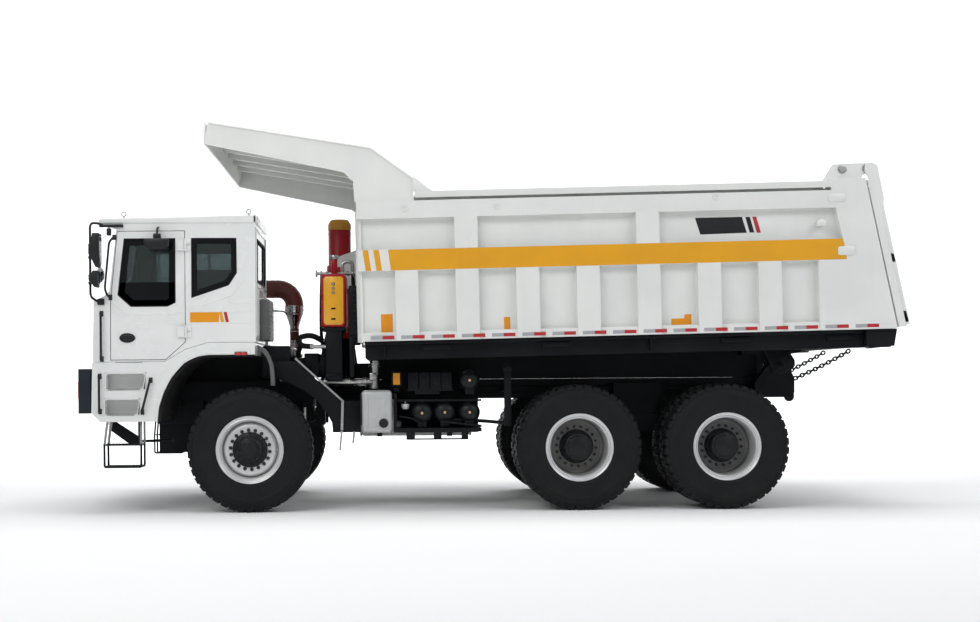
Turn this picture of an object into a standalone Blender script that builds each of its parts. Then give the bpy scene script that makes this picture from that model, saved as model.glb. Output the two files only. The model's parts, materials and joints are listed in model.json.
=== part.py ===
"""Three-axle mining dump truck with an offset cab, a front telescopic hoist and a canopied body.

Metres. The truck faces -X, +Z is up, and the ground is z = 0. Left is -Y.
"""
import math

import bmesh
import bpy
from mathutils import Matrix, Vector

# Overall
HALF_WIDTH = 2.0
TYRE_RADIUS = 0.745
TYRE_WIDTH = 0.43
FRONT_AXLE = -2.87
MID_AXLE = 1.04
REAR_AXLE = 2.79
GAP = 0.0003
ROUND = 20

# Frame
RAIL_IN = 0.40
RAIL_OUT = 0.49
RAIL_BOTTOM = 1.32
RAIL_TOP = 1.56
RAIL_FRONT = -4.60
RAIL_REAR = 3.92
EAR_IN = RAIL_OUT + 0.12
EAR_OUT = RAIL_OUT + 0.22

# Wheels and steering
FRONT_TRACK = 1.67
DUAL_OUTER = 1.665
DUAL_INNER = 1.165
RIM_BARREL = 0.345
RIM_FLANGE = 0.400
KINGPIN = 1.36
STEER_ARM = 0.22

# Body
BODY_TILT = math.radians(1.0)
BODY_X = 3.63
BODY_Z = 1.72
HINGE_X = 3.68
HINGE_Z = 1.70
BODY_FRONT = -5.16
RIB_FIRST = BODY_FRONT + 0.415
RIB_PITCH = (-0.470 - RIB_FIRST) / 6
BODY_BOTTOM = 0.385
BODY_FLOOR = 0.43
BODY_RAIL = 2.03
BODY_TOP = 2.14
STRIPE_LOW = 1.21
STRIPE_HIGH = 1.46
WALL_IN = 1.86
WALL_OUT = 1.885
GATE_PIVOT = (0.846, 2.28)
PLATE = 0.02

# Cab
CAB_LEFT = -1.95
CAB_RIGHT = -0.42
CAB_WALL = 0.05
CAB_BACK = -2.78
DOOR_GAP = 0.008
DOOR_HINGE = (-3.600, -1.978)

# Hoist
HOIST_X = -1.85
HOIST_EYE_Z = 1.38
HOIST_PIN_Z = 2.99
HOIST_RADIUS = 0.15
HOIST_TOP = 3.52

for item in list(bpy.data.objects):
    bpy.data.objects.remove(item, do_unlink=True)


def material(name, colour, roughness, metallic=0.0, transmission=0.0):
    made = bpy.data.materials.new(name)
    made.use_nodes = True
    shader = made.node_tree.nodes["Principled BSDF"]
    shader.inputs["Base Color"].default_value = (*colour, 1.0)
    shader.inputs["Roughness"].default_value = roughness
    shader.inputs["Metallic"].default_value = metallic
    shader.inputs["Transmission Weight"].default_value = transmission
    made.diffuse_color = (*colour, 1.0)
    return made


WHITE = material("white_paint", (0.80, 0.81, 0.82), 0.32)
YELLOW = material("yellow_paint", (0.78, 0.38, 0.0), 0.35)
RED = material("red_paint", (0.30, 0.005, 0.01), 0.30)
BLACK = material("chassis_black", (0.018, 0.019, 0.022), 0.45)
TYRE = material("tyre_rubber", (0.022, 0.022, 0.023), 0.80)
RIM = material("rim_silver", (0.62, 0.63, 0.64), 0.35, 0.4)
GLASS = material("tinted_glass", (0.03, 0.035, 0.04), 0.05, 0.0, 0.6)
TRIM = material("black_plastic", (0.02, 0.021, 0.024), 0.55)
STEEL = material("polished_steel", (0.62, 0.62, 0.63), 0.18, 1.0)
DUCT = material("brown_hose", (0.11, 0.025, 0.02), 0.5)
ALU = material("silver_tank", (0.55, 0.56, 0.57), 0.4, 0.6)
FABRIC = material("seat_fabric", (0.04, 0.042, 0.048), 0.9)


# Shapes are (points, faces) pairs.
def prism(points, low, high, axis="y"):
    """A polygon pushed along one axis. Points are the other two coordinates in order."""
    count = len(points)

    def place(a, b, along):
        return {"x": (along, a, b), "y": (a, along, b), "z": (a, b, along)}[axis]

    corners = [place(a, b, low) for a, b in points] + [place(a, b, high) for a, b in points]
    sides = [(i, (i + 1) % count, count + (i + 1) % count, count + i) for i in range(count)]
    return corners, [tuple(range(count))[::-1], tuple(range(count, 2 * count)), *sides]


def box(x0, x1, y0, y1, z0, z1):
    return prism([(x0, z0), (x1, z0), (x1, z1), (x0, z1)], y0, y1)


def across(half_low, half_high, maker):
    """The same shape on the left and on the right, from |y| limits."""
    return [maker(-half_high, -half_low), maker(half_low, half_high)]


def turn(profile, centre, axis="y", count=ROUND):
    """A closed profile of (radius, along) turned about an axis through centre. Its flats lie at that radius."""
    cx, cy, cz = centre
    grow = 1 / math.cos(math.pi / count)
    corners, faces = [], []
    for i in range(count):
        angle = 2 * math.pi * (i + 0.5) / count
        c, s = math.cos(angle), math.sin(angle)
        for radius, along in profile:
            a, b = grow * radius * c, grow * radius * s
            corners.append(
                {
                    "x": (cx + along, cy + a, cz + b),
                    "y": (cx + a, cy + along, cz + b),
                    "z": (cx + a, cy + b, cz + along),
                }[axis]
            )
    n = len(profile)
    for i in range(count):
        for j in range(n):
            k = (i + 1) % count
            faces.append((i * n + j, i * n + (j + 1) % n, k * n + (j + 1) % n, k * n + j))
    return corners, faces


def rod(start, end, radius, count=16):
    """A round bar between two points."""
    start, end = Vector(start), Vector(end)
    way = (end - start).normalized()
    side = way.orthogonal().normalized()
    up = way.cross(side)
    corners = []
    for point in (start, end):
        for i in range(count):
            angle = 2 * math.pi * (i + 0.5) / count
            corners.append(tuple(point + radius * (math.cos(angle) * side + math.sin(angle) * up)))
    sides = [(i, (i + 1) % count, count + (i + 1) % count, count + i) for i in range(count)]
    return corners, [tuple(range(count))[::-1], tuple(range(count, 2 * count)), *sides]


def pipe(path, radius, count=10):
    """A round bar along a path, mitred at its corners."""
    points = [Vector(p) for p in path]
    corners = []
    side = None
    for i, point in enumerate(points):
        before = (point - points[i - 1]).normalized() if i else None
        after = (points[i + 1] - point).normalized() if i + 1 < len(points) else None
        if before is None:
            way, stretch = after, 1.0
        elif after is None:
            way, stretch = before, 1.0
        else:
            way = (before + after).normalized()
            stretch = 1 / max(0.3, way.dot(after))
        if side is None:
            side = way.orthogonal().normalized()
        side = (side - way * side.dot(way)).normalized()
        up = way.cross(side)
        bend = None
        if before is not None and after is not None and (after - before).length > 1e-4:
            bend = (after - before).normalized()
        for k in range(count):
            angle = 2 * math.pi * k / count
            spoke = radius * (math.cos(angle) * side + math.sin(angle) * up)
            if bend is not None:
                spoke += bend * spoke.dot(bend) * (stretch - 1)
            corners.append(tuple(point + spoke))
    faces = [tuple(range(count))[::-1]]
    for i in range(len(points) - 1):
        for k in range(count):
            m = (k + 1) % count
            faces.append((i * count + k, i * count + m, (i + 1) * count + m, (i + 1) * count + k))
    last = (len(points) - 1) * count
    faces.append(tuple(range(last, last + count)))
    return corners, faces


def in_body(shape):
    """From the truck's lines to the body's own."""
    c, s = math.cos(BODY_TILT), math.sin(BODY_TILT)
    corners = [((x - BODY_X) * c + (z - BODY_Z) * s, y, (z - BODY_Z) * c - (x - BODY_X) * s) for x, y,
        z in shape[0]]
    return corners, shape[1]


def raw_object(name, shape):
    mesh = bpy.data.meshes.new(name)
    built = bmesh.new()
    made = [built.verts.new(corner) for corner in shape[0]]
    for face in shape[1]:
        built.faces.new([made[i] for i in face])
    bmesh.ops.recalc_face_normals(built, faces=built.faces)
    built.to_mesh(mesh)
    built.free()
    if sum_volume(mesh) < 0:
        mesh.flip_normals()
    held = bpy.data.objects.new(name, mesh)
    bpy.context.scene.collection.objects.link(held)
    return held


def sum_volume(mesh):
    mesh.calc_loop_triangles()
    total = 0.0
    for triangle in mesh.loop_triangles:
        a, b, c = (mesh.vertices[i].co for i in triangle.vertices)
        total += a.dot(b.cross(c))
    return total


def solid(name, finish, adds, cuts=(), smooth=False, tilted=False):
    """Joins shapes into one body, cuts others from it and gives it its finish."""
    body = raw_object(name, adds[0])
    steps = (("UNION", adds[1:]), ("DIFFERENCE", list(cuts)))
    for kind, shapes in steps:
        if not shapes:
            continue
        group = bpy.data.collections.new(name + "_" + kind.lower())
        bpy.context.scene.collection.children.link(group)
        for index, shape in enumerate(shapes):
            tool = raw_object(f"{name}_{kind.lower()}_{index}", shape)
            bpy.context.scene.collection.objects.unlink(tool)
            group.objects.link(tool)
        step = body.modifiers.new(kind.title(), "BOOLEAN")
        step.operation = kind
        step.operand_type = "COLLECTION"
        step.collection = group
        step.solver = "EXACT"
        graph = bpy.context.evaluated_depsgraph_get()
        baked = bpy.data.meshes.new_from_object(body.evaluated_get(graph))
        body.modifiers.clear()
        body.data = baked
        for tool in list(group.objects):
            bpy.data.objects.remove(tool, do_unlink=True)
        bpy.data.collections.remove(group)
    if tilted:
        turned = Matrix.Rotation(-BODY_TILT, 4, "Y")
        body.data.transform(Matrix.Translation((BODY_X, 0, BODY_Z)) @ turned)
    body.data.name = name
    body.data.materials.clear()
    body.data.materials.append(finish)
    if smooth:
        for face in body.data.polygons:
            face.use_smooth = True
        body.data.set_sharp_from_angle(angle=math.radians(40))
    return body


def pivot(name, place):
    mark = bpy.data.objects.new(name, None)
    mark.location = place
    mark.empty_display_size = 0.2
    bpy.context.scene.collection.objects.link(mark)


# Frame: two rails, cross-members, the tail pivot brackets and the hoist's foot.
def rails():
    shapes = across(RAIL_IN, RAIL_OUT, lambda a, b: box(RAIL_FRONT, RAIL_REAR, a, b, RAIL_BOTTOM, RAIL_TOP))
    inside = RAIL_IN + 0.02
    for x in (-4.50, -0.30, 1.915, 3.80):
        shapes.append(box(x - 0.06, x + 0.06, -inside, inside, RAIL_BOTTOM + 0.02, RAIL_TOP - 0.06))
    shapes.append(box(-2.31, -2.19, -inside, inside, 1.22, RAIL_BOTTOM + 0.08))
    for x in (HOIST_X - 0.20, HOIST_X + 0.32):
        shapes.append(box(x - 0.03, x + 0.03, -inside, inside, RAIL_BOTTOM + 0.02, 1.45))
        shapes.append(box(x - 0.03, x + 0.03, 0.02 - RAIL_IN, RAIL_IN - 0.02, 1.18, 1.45))
    for a, b in ((0.090, 0.130), (-0.130, -0.090)):
        shapes.append(box(HOIST_X - 0.18, HOIST_X + 0.30, a, b, 1.20, HOIST_EYE_Z + 0.08))
    shapes += across(0.080, 0.16, lambda a, b: rod((HOIST_X, a, HOIST_EYE_Z), (HOIST_X, b, HOIST_EYE_Z),
        0.035))
    shapes += across(RAIL_OUT + 0.05, RAIL_OUT + 0.29,
                     lambda a, b: rod((HINGE_X, a, HINGE_Z), (HINGE_X, b, HINGE_Z), 0.045))
    low = RAIL_BOTTOM - 0.01
    cheek = [(HINGE_X - 0.30, low), (HINGE_X + 0.14, low), (HINGE_X + 0.20, low + 0.06), (HINGE_X + 0.20, 1.56),
             (HINGE_X + 0.09, HINGE_Z + 0.06),
             (HINGE_X + 0.04, HINGE_Z + 0.10), (HINGE_X - 0.04, HINGE_Z + 0.10), (HINGE_X - 0.09,
                 HINGE_Z + 0.06), (HINGE_X - 0.30, 1.50)]
    for inner, outer in ((RAIL_OUT + 0.06, EAR_IN - 0.01), (EAR_OUT + 0.01, RAIL_OUT + 0.28)):
        shapes += across(inner, outer, lambda a, b: prism(cheek, a, b))
    shapes += across(RAIL_OUT - 0.02, RAIL_OUT + 0.28,
                     lambda a, b: box(HINGE_X - 0.28, HINGE_X + 0.18, a, b, low + 0.01, 1.48))
    return shapes


solid("chassis_frame", BLACK, rails())

bumper = [(-4.886, -1.72), (-4.886, 1.72), (-4.84, 1.95), (-4.7355, 1.95), (-4.7355, -1.95), (-4.84, -1.95)]
solid("front_bumper", TRIM, [prism(bumper, 1.19, 1.72, "z")] + across(RAIL_IN, RAIL_OUT, lambda a,
    b: box(-4.75, RAIL_FRONT - GAP, a, b, 1.24, 1.52)))


# Axles
def front_axle():
    z = TYRE_RADIUS
    beam = [(-1.36, z - 0.07), (-1.10, z - 0.12), (-0.80, z - 0.16), (0.80, z - 0.16), (1.10, z - 0.12),
        (1.36, z - 0.07),
            (1.36, z + 0.07), (1.10, z + 0.05), (0.80, z + 0.0), (-0.80, z + 0.0), (-1.10,
                z + 0.05), (-1.36, z + 0.07)]
    shapes = [prism(beam, FRONT_AXLE - 0.07, FRONT_AXLE + 0.07, "x")]
    for y in (-KINGPIN, KINGPIN):
        shapes.append(rod((FRONT_AXLE, y, z - 0.085), (FRONT_AXLE, y, z + 0.085), 0.085, 14))
    leaf = [(FRONT_AXLE - 0.82, 1.02), (FRONT_AXLE - 0.40, 0.86), (FRONT_AXLE - 0.16, 0.80),
        (FRONT_AXLE - 0.16, 0.735), (FRONT_AXLE + 0.16, 0.735), (FRONT_AXLE + 0.16, 0.80),
            (FRONT_AXLE + 0.40, 0.86), (FRONT_AXLE + 0.82, 1.02), (FRONT_AXLE + 0.82,
                1.09), (FRONT_AXLE + 0.35, 0.93), (FRONT_AXLE - 0.35, 0.93), (FRONT_AXLE - 0.82, 1.09)]
    shapes += across(0.39, 0.50, lambda a, b: prism(leaf, a, b))
    for x in (FRONT_AXLE - 0.78, FRONT_AXLE + 0.78):
        shapes += across(0.39, 0.50, lambda a, b: box(x - 0.06, x + 0.06, a, b, 1.00, RAIL_BOTTOM - GAP))
    bores = [rod((FRONT_AXLE, y, z - 0.2), (FRONT_AXLE, y, z + 0.2), 0.0375, 14) for y in (-KINGPIN, KINGPIN)]
    return shapes, bores


made, bores = front_axle()
solid("front_axle", BLACK, made, bores)


def knuckle(side, name):
    z = TYRE_RADIUS
    x = FRONT_AXLE
    y = side * KINGPIN
    far = side * (KINGPIN + 0.10)
    shapes = [rod((x, y, z - 0.16), (x, y, z + 0.16), 0.035)]
    low, high = sorted((y - side * 0.07, far + side * 0.06))
    for a, b in ((z - 0.155, z - 0.095), (z + 0.095, z + 0.155)):
        shapes.append(box(x - 0.07, x + 0.07, low, high, a, b))
    low, high = sorted((far, far + side * 0.06))
    shapes.append(box(x - 0.09, x + 0.09, low, high, z - 0.17, z + 0.17))
    shapes.append(rod((x, far + side * 0.03, z), (x, side * 1.80, z), 0.060, 20))
    low, high = sorted((y - side * 0.03, y + side * 0.05))
    shapes.append(box(x + 0.03, x + STEER_ARM + 0.04, low, high, z - 0.155, z - 0.115))
    solid(name, BLACK, shapes)
    pivot(name + "_pivot", (x, y, z))


knuckle(-1, "knuckle_left")
knuckle(1, "knuckle_right")

rod_z = TYRE_RADIUS - 0.205
ends = [box(FRONT_AXLE + STEER_ARM - 0.05, FRONT_AXLE + STEER_ARM + 0.05, y - 0.05, y + 0.05, rod_z - 0.03,
    rod_z + 0.03) for y in (-KINGPIN, KINGPIN)]
bar = rod((FRONT_AXLE + STEER_ARM, -KINGPIN + 0.04, rod_z), (FRONT_AXLE + STEER_ARM, KINGPIN - 0.04, rod_z),
    0.026, 12)
solid("tie_rod", BLACK, [bar, *ends])


def drive_axle(x, name):
    z = TYRE_RADIUS
    bulb = [(0.0, -0.26), (0.16, -0.25), (0.26, -0.16), (0.29, 0.0), (0.26, 0.16), (0.16, 0.25), (0.0, 0.26)]
    centre = turn([(max(r, 0.02), a) for r, a in bulb], (x, 0, z), "y", 20)
    tubes = [rod((x, -1.02, z), (x, 1.02, z), 0.13, 20), rod((x, -1.72, z), (x, 1.72, z), 0.085, 20)]
    return solid(name, BLACK, [tubes[1], tubes[0], centre], smooth=True)


drive_axle(MID_AXLE, "mid_axle")
drive_axle(REAR_AXLE, "rear_axle")

middle = (MID_AXLE + REAR_AXLE) / 2
reach = REAR_AXLE - middle
leaves = [(middle - reach - 0.16, 0.8755), (middle - reach + 0.16, 0.8755), (middle - 0.30, 0.90),
    (middle + 0.30, 0.90), (middle + reach - 0.16, 0.8755), (middle + reach + 0.16, 0.8755),
          (middle + reach + 0.16, 0.93), (middle + 0.42, 1.10), (middle - 0.42,
              1.10), (middle - reach - 0.16, 0.93)]
for side, name in ((-1, "bogie_spring_left"), (1, "bogie_spring_right")):
    low, high = sorted((side * 0.57, side * 0.72))
    inner, outer = sorted((side * (RAIL_OUT + GAP), side * 0.70))
    stand = [(middle - 0.30, RAIL_BOTTOM + 0.04), (middle - 0.14, 0.98), (middle + 0.14, 0.98),
        (middle + 0.30, RAIL_BOTTOM + 0.04), (middle + 0.30, RAIL_TOP - 0.06), (middle - 0.30,
        RAIL_TOP - 0.06)]
    solid(name, BLACK, [prism(leaves, low, high), prism(stand, inner, outer)])


# Wheels: profiles are (radius, distance from the tyre's middle plane towards the outside).
def tyre(x, y, name):
    half = TYRE_WIDTH / 2
    inner = RIM_BARREL + GAP * 2
    shape = [(inner, -half + 0.04), (inner, half - 0.04), (0.39, half - 0.04), (0.42, half - 0.012), (0.54,
        half),
             (0.70, half - 0.03), (TYRE_RADIUS, half - 0.055), (TYRE_RADIUS, -half + 0.055), (0.70,
                 -half + 0.03),
             (0.54, -half), (0.42, -half + 0.012), (0.39, -half + 0.04)]
    solid(name, TYRE, [turn(shape, (x, y, TYRE_RADIUS))], smooth=True)


def rim_lines(middles):
    """Barrel with a flange either side of each tyre, from the outermost tyre inwards."""
    edge = TYRE_WIDTH / 2 - 0.04 + GAP
    high = RIM_FLANGE - 0.015
    line = []
    for middle_y in middles:
        for along, radius in ((edge + 0.022, high), (edge, high), (edge, RIM_BARREL), (-edge, RIM_BARREL),
            (-edge, high), (-edge - 0.022, high)):
            line.append((radius, middle_y + along))
        line.append((RIM_BARREL, middle_y - edge - 0.022))
        if middle_y != middles[-1]:
            after = middles[middles.index(middle_y) + 1]
            line.append((RIM_BARREL, after + edge + 0.022))
    line.pop()
    low = RIM_BARREL - 0.02
    return [(low, line[0][1]), *line, (low, line[-1][1])]


def turned_out(line, side):
    return [(radius, side * along) for radius, along in line]


def front_rim(side, name):
    centre = (FRONT_AXLE, side * FRONT_TRACK, TYRE_RADIUS)
    disc = [(0.0645, 0.03), (0.335, 0.03), (0.335, 0.06), (0.235, 0.10), (0.205, 0.10), (0.205, 0.17),
        (0.12, 0.20), (0.10, 0.265), (0.0645, 0.265)]
    cap = rod((FRONT_AXLE, side * (FRONT_TRACK + 0.20), TYRE_RADIUS), (FRONT_AXLE,
        side * (FRONT_TRACK + 0.27), TYRE_RADIUS), 0.085, 16)
    solid(name, RIM, [turn(turned_out(rim_lines([0.0]), side), centre), turn(turned_out(disc, side),
        centre), cap], smooth=True)


def dual_rim(x, side, name):
    centre = (x, side * DUAL_OUTER, TYRE_RADIUS)
    hub = [(0.0895, -0.60), (0.19, -0.60), (0.19, -0.20), (0.335, -0.20), (0.335, -0.17), (0.20, -0.15),
        (0.19, 0.06), (0.15, 0.10), (0.0895, 0.10)]
    cap = rod((x, side * (DUAL_OUTER + 0.065), TYRE_RADIUS), (x, side * (DUAL_OUTER + 0.095), TYRE_RADIUS),
        0.12, 16)
    solid(name, RIM, [turn(turned_out(rim_lines([0.0, DUAL_INNER - DUAL_OUTER]), side), centre),
        turn(turned_out(hub, side), centre), cap], smooth=True)


for side, word in ((-1, "left"), (1, "right")):
    tyre(FRONT_AXLE, side * FRONT_TRACK, f"tyre_front_{word}")
    front_rim(side, f"rim_front_{word}")
    pivot(f"wheel_front_{word}_axis", (FRONT_AXLE, side * FRONT_TRACK, TYRE_RADIUS))
    for x, place in ((MID_AXLE, "mid"), (REAR_AXLE, "rear")):
        tyre(x, side * DUAL_OUTER, f"tyre_{place}_{word}_outer")
        tyre(x, side * DUAL_INNER, f"tyre_{place}_{word}_inner")
        dual_rim(x, side, f"rim_{place}_{word}")
        pivot(f"wheel_{place}_{word}_axis", (x, side * DUAL_OUTER, TYRE_RADIUS))

# Engine, tanks and boxes on the frame
solid("engine_block", BLACK, [box(-4.20, -2.62, -0.34, 0.34, 1.02, 1.86), box(-2.64, -2.32, -0.26, 0.26,
    0.98, 1.48), *[box(x - 0.07, x + 0.07, -RAIL_IN + GAP, RAIL_IN - GAP, 1.24, 1.44) for x in (-3.95,
    -2.75)]])


def side_tank(x0, x1, y0, y1, z0, z1):
    cut = 0.12
    shape = [(y0 + cut, z0), (y1 - cut, z0), (y1, z0 + cut), (y1, z1 - cut), (y1 - cut, z1), (y0 + cut, z1),
        (y0, z1 - cut), (y0, z0 + cut)]
    return prism(shape, x0, x1, "x")


solid("fuel_tank", ALU, [side_tank(-1.62, -0.10, 0.74, 1.52, 0.80, 1.50), *[box(x - 0.04, x + 0.04,
    RAIL_OUT + GAP, 1.10, 1.22, 1.50) for x in (-1.35, -0.40)],
                         rod((-1.25, 1.25, 1.48), (-1.25, 1.25, 1.58), 0.07)])


def rack():
    shapes = [box(-1.16, -0.10, -0.80, -0.74, 0.90, 1.50), box(-1.16, -0.10, -1.55, -0.76, 0.93, 0.98)]
    shapes += [box(x - 0.03, x + 0.03, -0.77, -RAIL_OUT - GAP, 1.22, 1.48) for x in (-1.05, -0.30)]
    for x, z, radius in ((-0.82, 1.155, 0.130), (-0.535, 1.155, 0.130), (-0.25, 1.155, 0.130)):
        shapes.append(rod((x, -1.50, z), (x, -0.78, z), radius, 16))
        shapes.append(box(x - 0.05, x + 0.05, -1.45, -0.78, 0.96, 1.06))
    shapes.append(box(-0.97, -0.44, -1.42, -0.78, 1.36, 1.66))
    shapes.append(box(-0.50, -0.12, -1.40, -0.78, 1.36, 1.42))
    shapes.append(rod((-0.245, -1.50, 1.53), (-0.245, -0.78, 1.53), 0.125, 16))
    shapes.append(box(-0.30, -0.19, -1.40, -0.80, 1.40, 1.46))
    shapes.append(box(-1.02, -0.24, -1.56, -1.50, 0.84, 0.97))
    return shapes


solid("air_tank_rack", BLACK, rack())
solid("coolant_tank", ALU, [box(-1.54, -1.19, -1.62, -1.22, 0.93, 1.44),
                            box(-1.50, -1.24, -1.24, -RAIL_OUT - GAP, RAIL_BOTTOM + 0.02, 1.42),
                            rod((-1.29, -1.66, 1.04), (-1.29, -1.60, 1.04), 0.06)])
solid("hydraulic_tank", RED, [box(-2.04, -1.73, -1.30, -0.68, 2.21, 2.87), box(-1.99, -1.78, -1.28, -1.20,
    1.60, 2.23), box(-1.99, -1.78, -1.30, -RAIL_OUT + 0.06, RAIL_TOP + GAP, 1.64),
                              box(-1.99, -1.78, -0.78, -0.70, 1.60, 2.23), rod((-1.885, -0.98, 2.86),
                                  (-1.885, -0.98, 3.12), 0.045)])


# Cab
CAB_LINE = [(-4.705, 1.80), (-4.69, 2.52), (-4.57, 2.575), (-4.505, 2.63), (-4.415, 3.36), (-4.60, 3.43),
    (-4.60, 3.49), (CAB_BACK, 3.515), (CAB_BACK, 2.022),
            (-3.346, 2.022), (-3.61, 1.945), (-3.855, 1.80)]
ROOM_LINE = [(-4.655, 1.86), (-4.64, 2.49), (-4.54, 2.535), (-4.455, 2.60), (-4.37, 3.33), (-4.33, 3.435),
    (CAB_BACK - CAB_WALL, 3.455), (CAB_BACK - CAB_WALL, 2.082),
             (-3.355, 2.082), (-3.63, 2.005), (-3.875, 1.86)]
DOOR_LINE = [(-4.489, 1.825), (-4.485, 2.509), (-4.402, 3.335), (-3.614, 3.335), (-3.614, 2.030), (-3.845,
    1.825)]
DOOR_WINDOW = [(-4.323, 3.245), (-3.726, 3.245), (-3.729, 2.498), (-3.822, 2.454), (-4.246, 2.454), (-4.398,
    2.589)]
QUARTER = [(-3.528, 3.247), (-3.006, 3.243), (-3.006, 2.841), (-3.099, 2.700), (-3.530, 2.553)]


def grown(points, by):
    """The polygon with every side moved outwards."""
    count = len(points)
    area = sum(points[i][0] * points[(i + 1) % count][1] - points[(i + 1) % count][0] * points[i][1] for i in range(count))
    sign = 1 if area > 0 else -1
    result = []
    for i in range(count):
        before, here, after = (Vector(points[j % count]) for j in (i - 1, i, i + 1))
        first = (here - before).normalized()
        second = (after - here).normalized()
        n1 = Vector((first.y, -first.x)) * sign
        n2 = Vector((second.y, -second.x)) * sign
        middle_way = (n1 + n2).normalized()
        result.append(tuple(here + middle_way * (by / max(0.3, middle_way.dot(n1)))))
    return result


screen_cut = [(-4.60, 2.68), (-4.40, 2.68), (-4.30, 3.31), (-4.50, 3.31)]
cab_cuts = [
    prism(ROOM_LINE, CAB_LEFT + CAB_WALL, CAB_RIGHT - CAB_WALL),
    prism(grown(DOOR_LINE, DOOR_GAP), CAB_LEFT - 0.1, CAB_LEFT + 0.2),
    prism(QUARTER, CAB_LEFT - 0.1, CAB_LEFT + 0.2),
    prism(screen_cut, CAB_LEFT + 0.09, CAB_RIGHT - 0.09),
    prism([(-4.28, 2.72), (-3.05, 2.72), (-3.05, 3.24), (-4.22, 3.24)], CAB_RIGHT - 0.2, CAB_RIGHT + 0.1),
    box(CAB_BACK - 0.1, CAB_BACK + 0.1, CAB_LEFT + 0.25, CAB_RIGHT - 0.25, 2.75, 3.25),
]
solid("cab_shell", WHITE, [prism(CAB_LINE, CAB_LEFT, CAB_RIGHT)], cab_cuts)

slope = (3.31 - 2.68) / 0.10
solid("windscreen", GLASS, [prism([(-4.4955, 2.6805), (-4.4855, 2.6805), (-4.4085, 3.3095), (-4.4185,
    3.3095)], CAB_LEFT + 0.09 + GAP, CAB_RIGHT - 0.09 - GAP)])
solid("quarter_glass", GLASS, [prism(grown(QUARTER, -GAP), CAB_LEFT + 0.012, CAB_LEFT + 0.020)])
solid("right_glass", GLASS, [prism(grown([(-4.28, 2.72), (-3.05, 2.72), (-3.05, 3.24), (-4.22, 3.24)],
    -GAP), CAB_RIGHT - 0.020, CAB_RIGHT - 0.012)])
solid("rear_glass", GLASS, [box(CAB_BACK - 0.02, CAB_BACK - 0.012, CAB_LEFT + 0.25 + GAP,
    CAB_RIGHT - 0.25 - GAP, 2.75 + GAP, 3.25 - GAP)])

knuckles = [rod((DOOR_HINGE[0], DOOR_HINGE[1], z - 0.07), (DOOR_HINGE[0], DOOR_HINGE[1], z + 0.07), 0.014,
    12) for z in (2.15, 3.17)]
leaves = [box(-3.70, DOOR_HINGE[0], DOOR_HINGE[1] - 0.006, CAB_LEFT - 0.002, z - 0.065,
    z + 0.065) for z in (2.15, 3.17)]
leaves += [box(-3.69, -3.63, CAB_LEFT - 0.01, CAB_LEFT + 0.01, z - 0.055, z + 0.055) for z in (2.15, 3.17)]
handle = [box(-4.39, -4.20, CAB_LEFT - 0.012, CAB_LEFT + 0.01, 2.02, 2.14)]
solid("door_left", WHITE, [prism(DOOR_LINE, CAB_LEFT, CAB_LEFT + CAB_WALL), *knuckles, *leaves, *handle],
    [prism(DOOR_WINDOW, CAB_LEFT - 0.1, CAB_LEFT + 0.2)])
solid("door_glass", GLASS, [prism(grown(DOOR_WINDOW, -GAP), CAB_LEFT + 0.012, CAB_LEFT + 0.020)])
pivot("door_left_hinge", (*DOOR_HINGE, 2.6))

ARCH = [(-3.943, 1.09), (-3.924, 1.27), (-3.862, 1.45), (-3.771, 1.614), (-3.619, 1.778), (-3.468, 1.845),
    (-3.347, 1.862), (-2.79, 1.862)]
TOP_LINE = [(-2.79, 2.020), (-3.346, 2.020), (-3.612, 1.9425), (-3.858, 1.7975)]
BASE_LINE = [(-4.63, 1.09), *ARCH, *TOP_LINE, (-4.715, 1.7975), (-4.73, 1.20)]


def lower_cab(side, inner):
    """Steps and front mudguard of one side, open inwards."""
    outer = side * abs(CAB_LEFT)
    low, high = sorted((outer, side * inner))
    shell = prism(BASE_LINE, low, high)
    hollow = [(-4.60, 1.00), (-3.99, 1.00), (-3.965, 1.28), (-3.90, 1.47), (-3.805, 1.645), (-3.645, 1.815),
        (-3.48, 1.885), (-3.35, 1.902), (-3.10, 1.902), (-3.10, 1.975),
              (-3.352, 1.975), (-3.63, 1.897), (-3.875, 1.7575), (-4.675, 1.7575), (-4.69, 1.20)]
    low, high = sorted((outer - side * 0.24, side * (inner + 0.03)))
    pockets = []
    for x0, x1, z0, z1 in ((-4.56, -4.08, 1.47, 1.67), (-4.575, -4.15, 1.17, 1.365)):
        a, b = sorted((outer + side * 0.1, outer - side * 0.20))
        pockets.append(box(x0, x1, a, b, z0, z1))
    return shell, prism(hollow, low, high), pockets


shell, hollow, pockets = lower_cab(-1, 0.60)
solid("cab_base", WHITE, [shell, *[box(x - 0.05, x + 0.05, -0.61, -RAIL_OUT - GAP, 1.30,
    1.48) for x in (-4.45, -4.10)]], [hollow, *pockets])
shell, hollow, pockets = lower_cab(1, 0.60)
hood = [(-4.70, 1.7975), (-4.69, 2.50), (-4.62, 2.56), (-2.76, 2.56), (-2.76, 2.022), (-3.346, 2.022),
    (-3.61, 1.945), (-3.855, 1.7975)]
solid("hood", WHITE, [shell, prism(hood, CAB_RIGHT + GAP, 1.30), prism([(-4.715, 1.7975), (-3.858, 1.7975),
    (-3.858, 1.75), (-4.715, 1.75)], 0.5, 1.30),
                      *[box(x - 0.05, x + 0.05, RAIL_OUT + GAP, 0.61, 1.30, 1.48) for x in (-4.45, -4.10)]],
      [hollow, *pockets, prism([(-4.66, 1.70), (-4.65, 2.46), (-4.59, 2.52), (-2.80, 2.52), (-2.80, 1.95),
          (-3.346, 1.95), (-3.60, 1.90), (-3.90, 1.70)], CAB_RIGHT + 0.04, 1.26)])

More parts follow.
